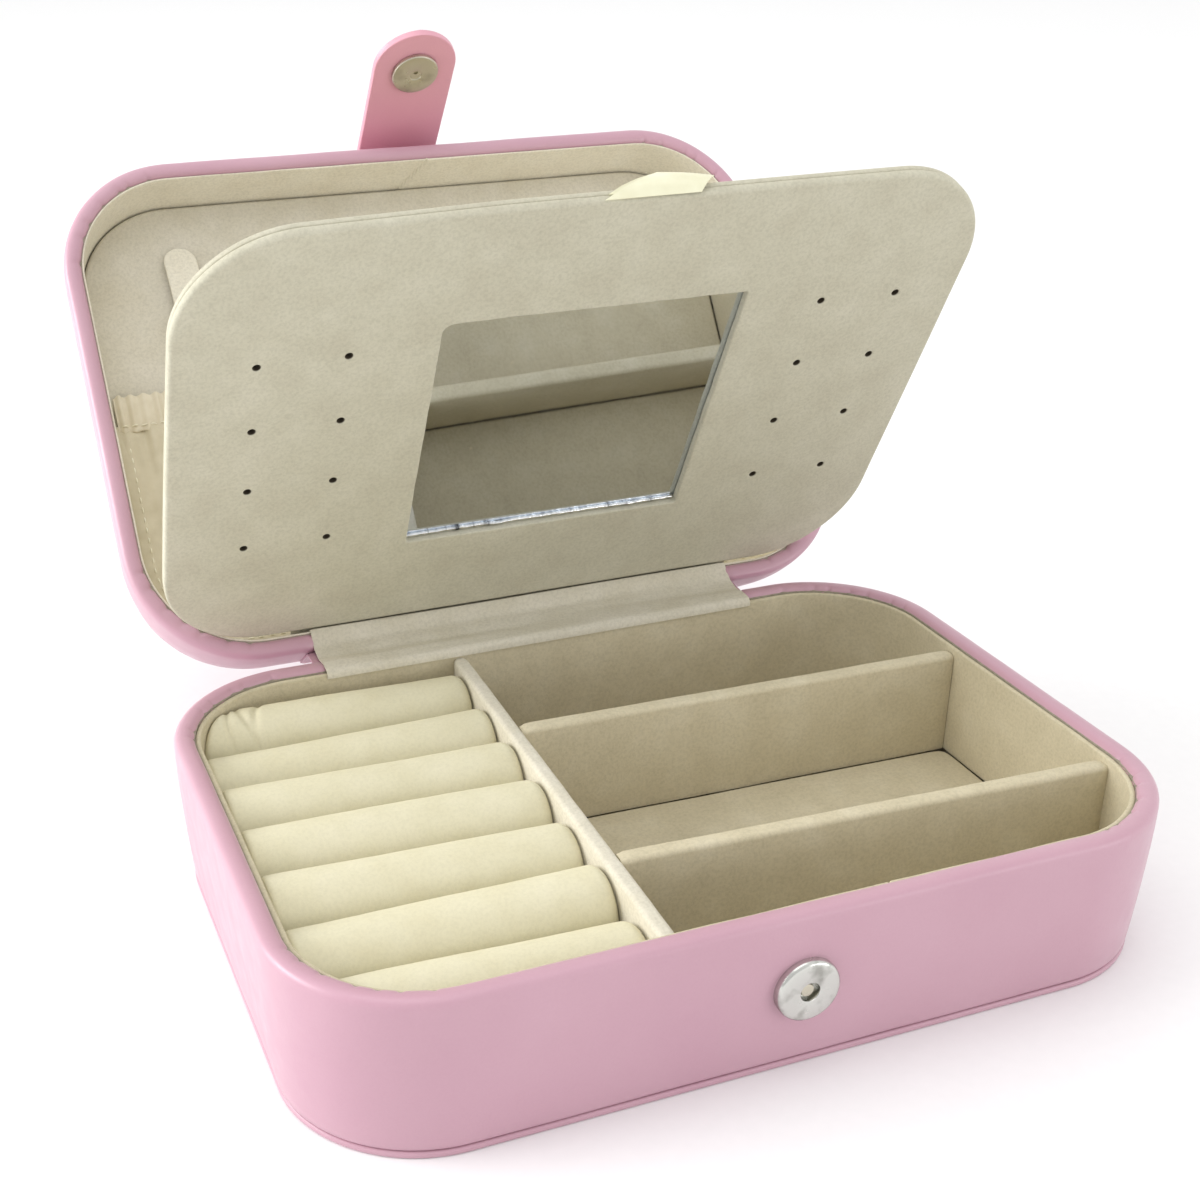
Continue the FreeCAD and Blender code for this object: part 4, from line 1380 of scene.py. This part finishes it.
def tab_strap():
    """Closing strap: sewn to the lid's outside, bent over its front edge, rounded at the free end."""
    root_lo, root_hi = span("tab_root", LID)
    tip = span("tab_outer_leather", TAB)[0][2] + 1.2
    w = (root_hi[0] - root_lo[0]) / 2 + 1.2
    x0 = (root_hi[0] + root_lo[0]) / 2
    y_axis, z_axis = TAB_AXIS.y, TAB_AXIS.z
    bend = 2.6
    rows = [(y, z_axis, 0.0) for y in np.linspace(root_hi[1], y_axis + bend, 22)]
    rows += [(y_axis + bend - bend * sin(a), z_axis - bend + bend * cos(a), a / (pi / 2))
             for a in np.radians(np.linspace(0, 90, 12)[1:])]
    drop = z_axis - bend - tip - w
    rows += [(y_axis, z_axis - bend - drop * k, 1.0) for k in np.linspace(0, 1, 26)[1:]]
    rows += [(y_axis, tip + w - w * sin(a), 1.0) for a in np.radians(np.linspace(0, 89, 20)[1:])]
    n_straight = len(rows) - 19
    closed_to_rest = -JOINTS["tab_hinge"]["range_deg"][1]
    line, width = [], []
    for k, (y, z, f) in enumerate(rows):
        a = radians(closed_to_rest * smooth(f))
        dy, dz = y - y_axis, z - z_axis
        line.append((y_axis + dy * cos(a) - dz * sin(a), z_axis + dy * sin(a) + dz * cos(a)))
        width.append(w if k < n_straight else sqrt(max(0.0, w * w - (tip + w - z) ** 2)))
    line, width = np.array(line), np.array(width)
    width[:2] = (w - 0.5, w - 0.1)
    t = np.gradient(line, axis=0)
    t = unit(t)
    n = np.column_stack([-t[:, 1], t[:, 0]])
    h, e = 0.98, 0.45
    section = []
    for sx, sz in ((1, 1), (-1, 1), (-1, -1), (1, -1)):
        part = [(sx, -e + e * cos(a), sz * (h - e + e * sin(a))) for a in arc(0, 90, 5)]
        if sx != sz:
            part = part[::-1]
        section += part
        if sx == sz:
            section += [(sx * f, 0.0, sz * h) for f in (0.6, 0.2, -0.2, -0.6)]
        else:
            section += [(sx, -0.28, 0.0)]
    rings = []
    for p, half, m in zip(line, width, n):
        ring = []
        for side, off, up in section:
            inward = min(abs(off), half) if off < 0 else 0
            x = side * half + copysign(inward, -side) * (1 if abs(side) == 1 else 0)
            ring.append((x0 + x, p[0] + m[0] * up, p[1] + m[1] * up))
        rings.append(ring)
    rings = np.array(rings)
    rings[..., 1] += 0.12 * wobble(rings, 12, 111) * (np.arange(len(rings)) > 30)[:, None]
    piece = loft("tab_strap_leather", rings, LID, caps=True)
    # The strap's leather is painted pinker: painted bounce light.
    place(piece, None, TAB_BOUNCE_PINK, ["tab_root", "tab_outer_leather", "tab_inner_leather"])
    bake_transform(piece)
    z_top = z_axis + h + 0.06
    box_line = [(x0 - w + 2, root_hi[1] - 2.2 - 12, z_top), (x0 - w + 2, root_hi[1] - 2.2, z_top),
                (x0 + w - 2, root_hi[1] - 2.2, z_top), (x0 + w - 2, root_hi[1] - 2.2 - 12, z_top),
                (x0 - w + 2, root_hi[1] - 2.2 - 12, z_top)]
    box_s = run_length(np.array(box_line))
    path = along(np.linspace(0, box_s[-1], 200), box_s, box_line)
    place(stitches("tab_root_stitches", path, LID, 2.4, 0.9, 0.22, (0, 0, 0.12)), "lid", THREAD)


tab_strap()
D_LO, D_HI = span("tab_snap_disc", TAB)
STUD = ((D_LO[0] + D_HI[0]) / 2, D_HI[1], (D_LO[2] + D_HI[2]) / 2)
STUD_R = (D_HI[0] - D_LO[0]) / 2 - 0.45
stud = [(STUD_R - 0.3, -1.35), (STUD_R, -1.2), (STUD_R, -0.4), (STUD_R - 0.2, -0.12), (STUD_R - 0.6, 0.0),
        (4.6, -0.03),
        (1.95, 0.0), (1.72, -0.08), (1.6, -0.3), (0.85, -0.32), (0.6, -0.3), (0.52, -0.95), (0.0, -1.0)]


def off_centre(rings):
    """The rivet's small hole sits to one side of its shallow dimple."""
    rings[-4:, :, 2] -= 0.75
    return rings


place(lathe("tab_stud_cap", stud, STUD, (0, 1, 0), TAB, change=off_centre), "tab", NICKEL_DULL,
      ["tab_snap_disc", "tab_snap_rivet"])


# ---- floor, light and camera

def floor():
    n = 60
    side = np.linspace(-1, 1, n)
    verts = [(x * abs(x) * 6000, y * abs(y) * 6000, 0.0) for y in side for x in side]
    piece = finish_mesh("floor_stage", verts, grid_faces(n, n))
    m = Look("floor_white", Roughness=0.6, Specular_IOR_Level=0.2)
    reach = m.add("ShaderNodeVectorMath", [("Vector", m.coords)], operation="LENGTH").outputs["Value"]
    paper = m.blend(m.scale(reach, 0.0, 1.0, 0.35, 1.6), (0.9, 0.9, 0.9, 1), (0.985, 0.985, 0.985, 1))
    grain = m.ramp(m.noise(3, 3), (0.3, (0.985, 0.985, 0.985, 1)), (0.7, (1, 1, 1, 1)))
    m.set("Base Color", m.blend(1.0, paper, grain, "MULTIPLY"))
    piece.data.materials.append(m.mat)


floor()


def soft_light(name, place_m, aim, size, power, colour=(1, 1, 1)):
    data = bpy.data.lights.new(name, "AREA")
    data.shape, data.size, data.size_y = "RECTANGLE", size[0], size[1]
    data.energy, data.color = power, colour
    obj = bpy.data.objects.new(name, data)
    obj.location = place_m
    obj.rotation_euler = (Vector(aim) - Vector(place_m)).to_track_quat("-Z", "Y").to_euler()
    bpy.context.scene.collection.objects.link(obj)


soft_light("left_window", (-1.32, 0.42, 0.5), (0, 0, 0.05), (1.0, 0.7), 19)
soft_light("top_box", (-0.3, -0.1, 1.5), (0, 0, 0.0), (1.2, 1.2), 5)
soft_light("right_fill", (0.85, -0.95, 0.22), (0, 0, 0.08), (0.8, 0.4), 3.0)

world = bpy.data.worlds.new("studio")
bpy.context.scene.world = world
world.use_nodes = True
sky = world.node_tree
sky_background = sky.nodes["Background"]
sky_background.inputs["Color"].default_value = (1, 1, 1, 1)
toward = sky.nodes.new("ShaderNodeVectorMath")
toward.operation = "DOT_PRODUCT"
toward.inputs[1].default_value = (-0.7, -0.71, 0.0)
sky.links.new(sky.nodes.new("ShaderNodeTexCoord").outputs["Generated"], toward.inputs[0])
dim = sky.nodes.new("ShaderNodeMapRange")
for key, value in (("From Min", 0.1), ("From Max", 1.0), ("To Min", 1.0), ("To Max", 0.76)):
    dim.inputs[key].default_value = value
sky.links.new(toward.outputs["Value"], dim.inputs["Value"])
sky.links.new(dim.outputs["Result"], sky_background.inputs["Strength"])

VIEW_AZIMUTH, VIEW_ELEVATION, VIEW_ROLL = 20.786, 25.649, -0.3685
camera_data = bpy.data.cameras.new("photo_view")
camera_data.sensor_width = 36.0
camera_data.lens = 51.333
camera_data.shift_x, camera_data.shift_y = 0.07796, 0.0266
camera = bpy.data.objects.new("photo_view", camera_data)
turn = (Matrix.Rotation(radians(-VIEW_AZIMUTH), 4, "Z")
        @ Matrix.Rotation(radians(90 - VIEW_ELEVATION), 4, "X")
        @ Matrix.Rotation(radians(VIEW_ROLL), 4, "Z"))
camera.matrix_world = Matrix.Translation((-0.15044, -0.304727, 0.229377)) @ turn
bpy.context.scene.collection.objects.link(camera)
bpy.context.scene.camera = camera
bpy.context.scene.view_settings.view_transform = "Standard"
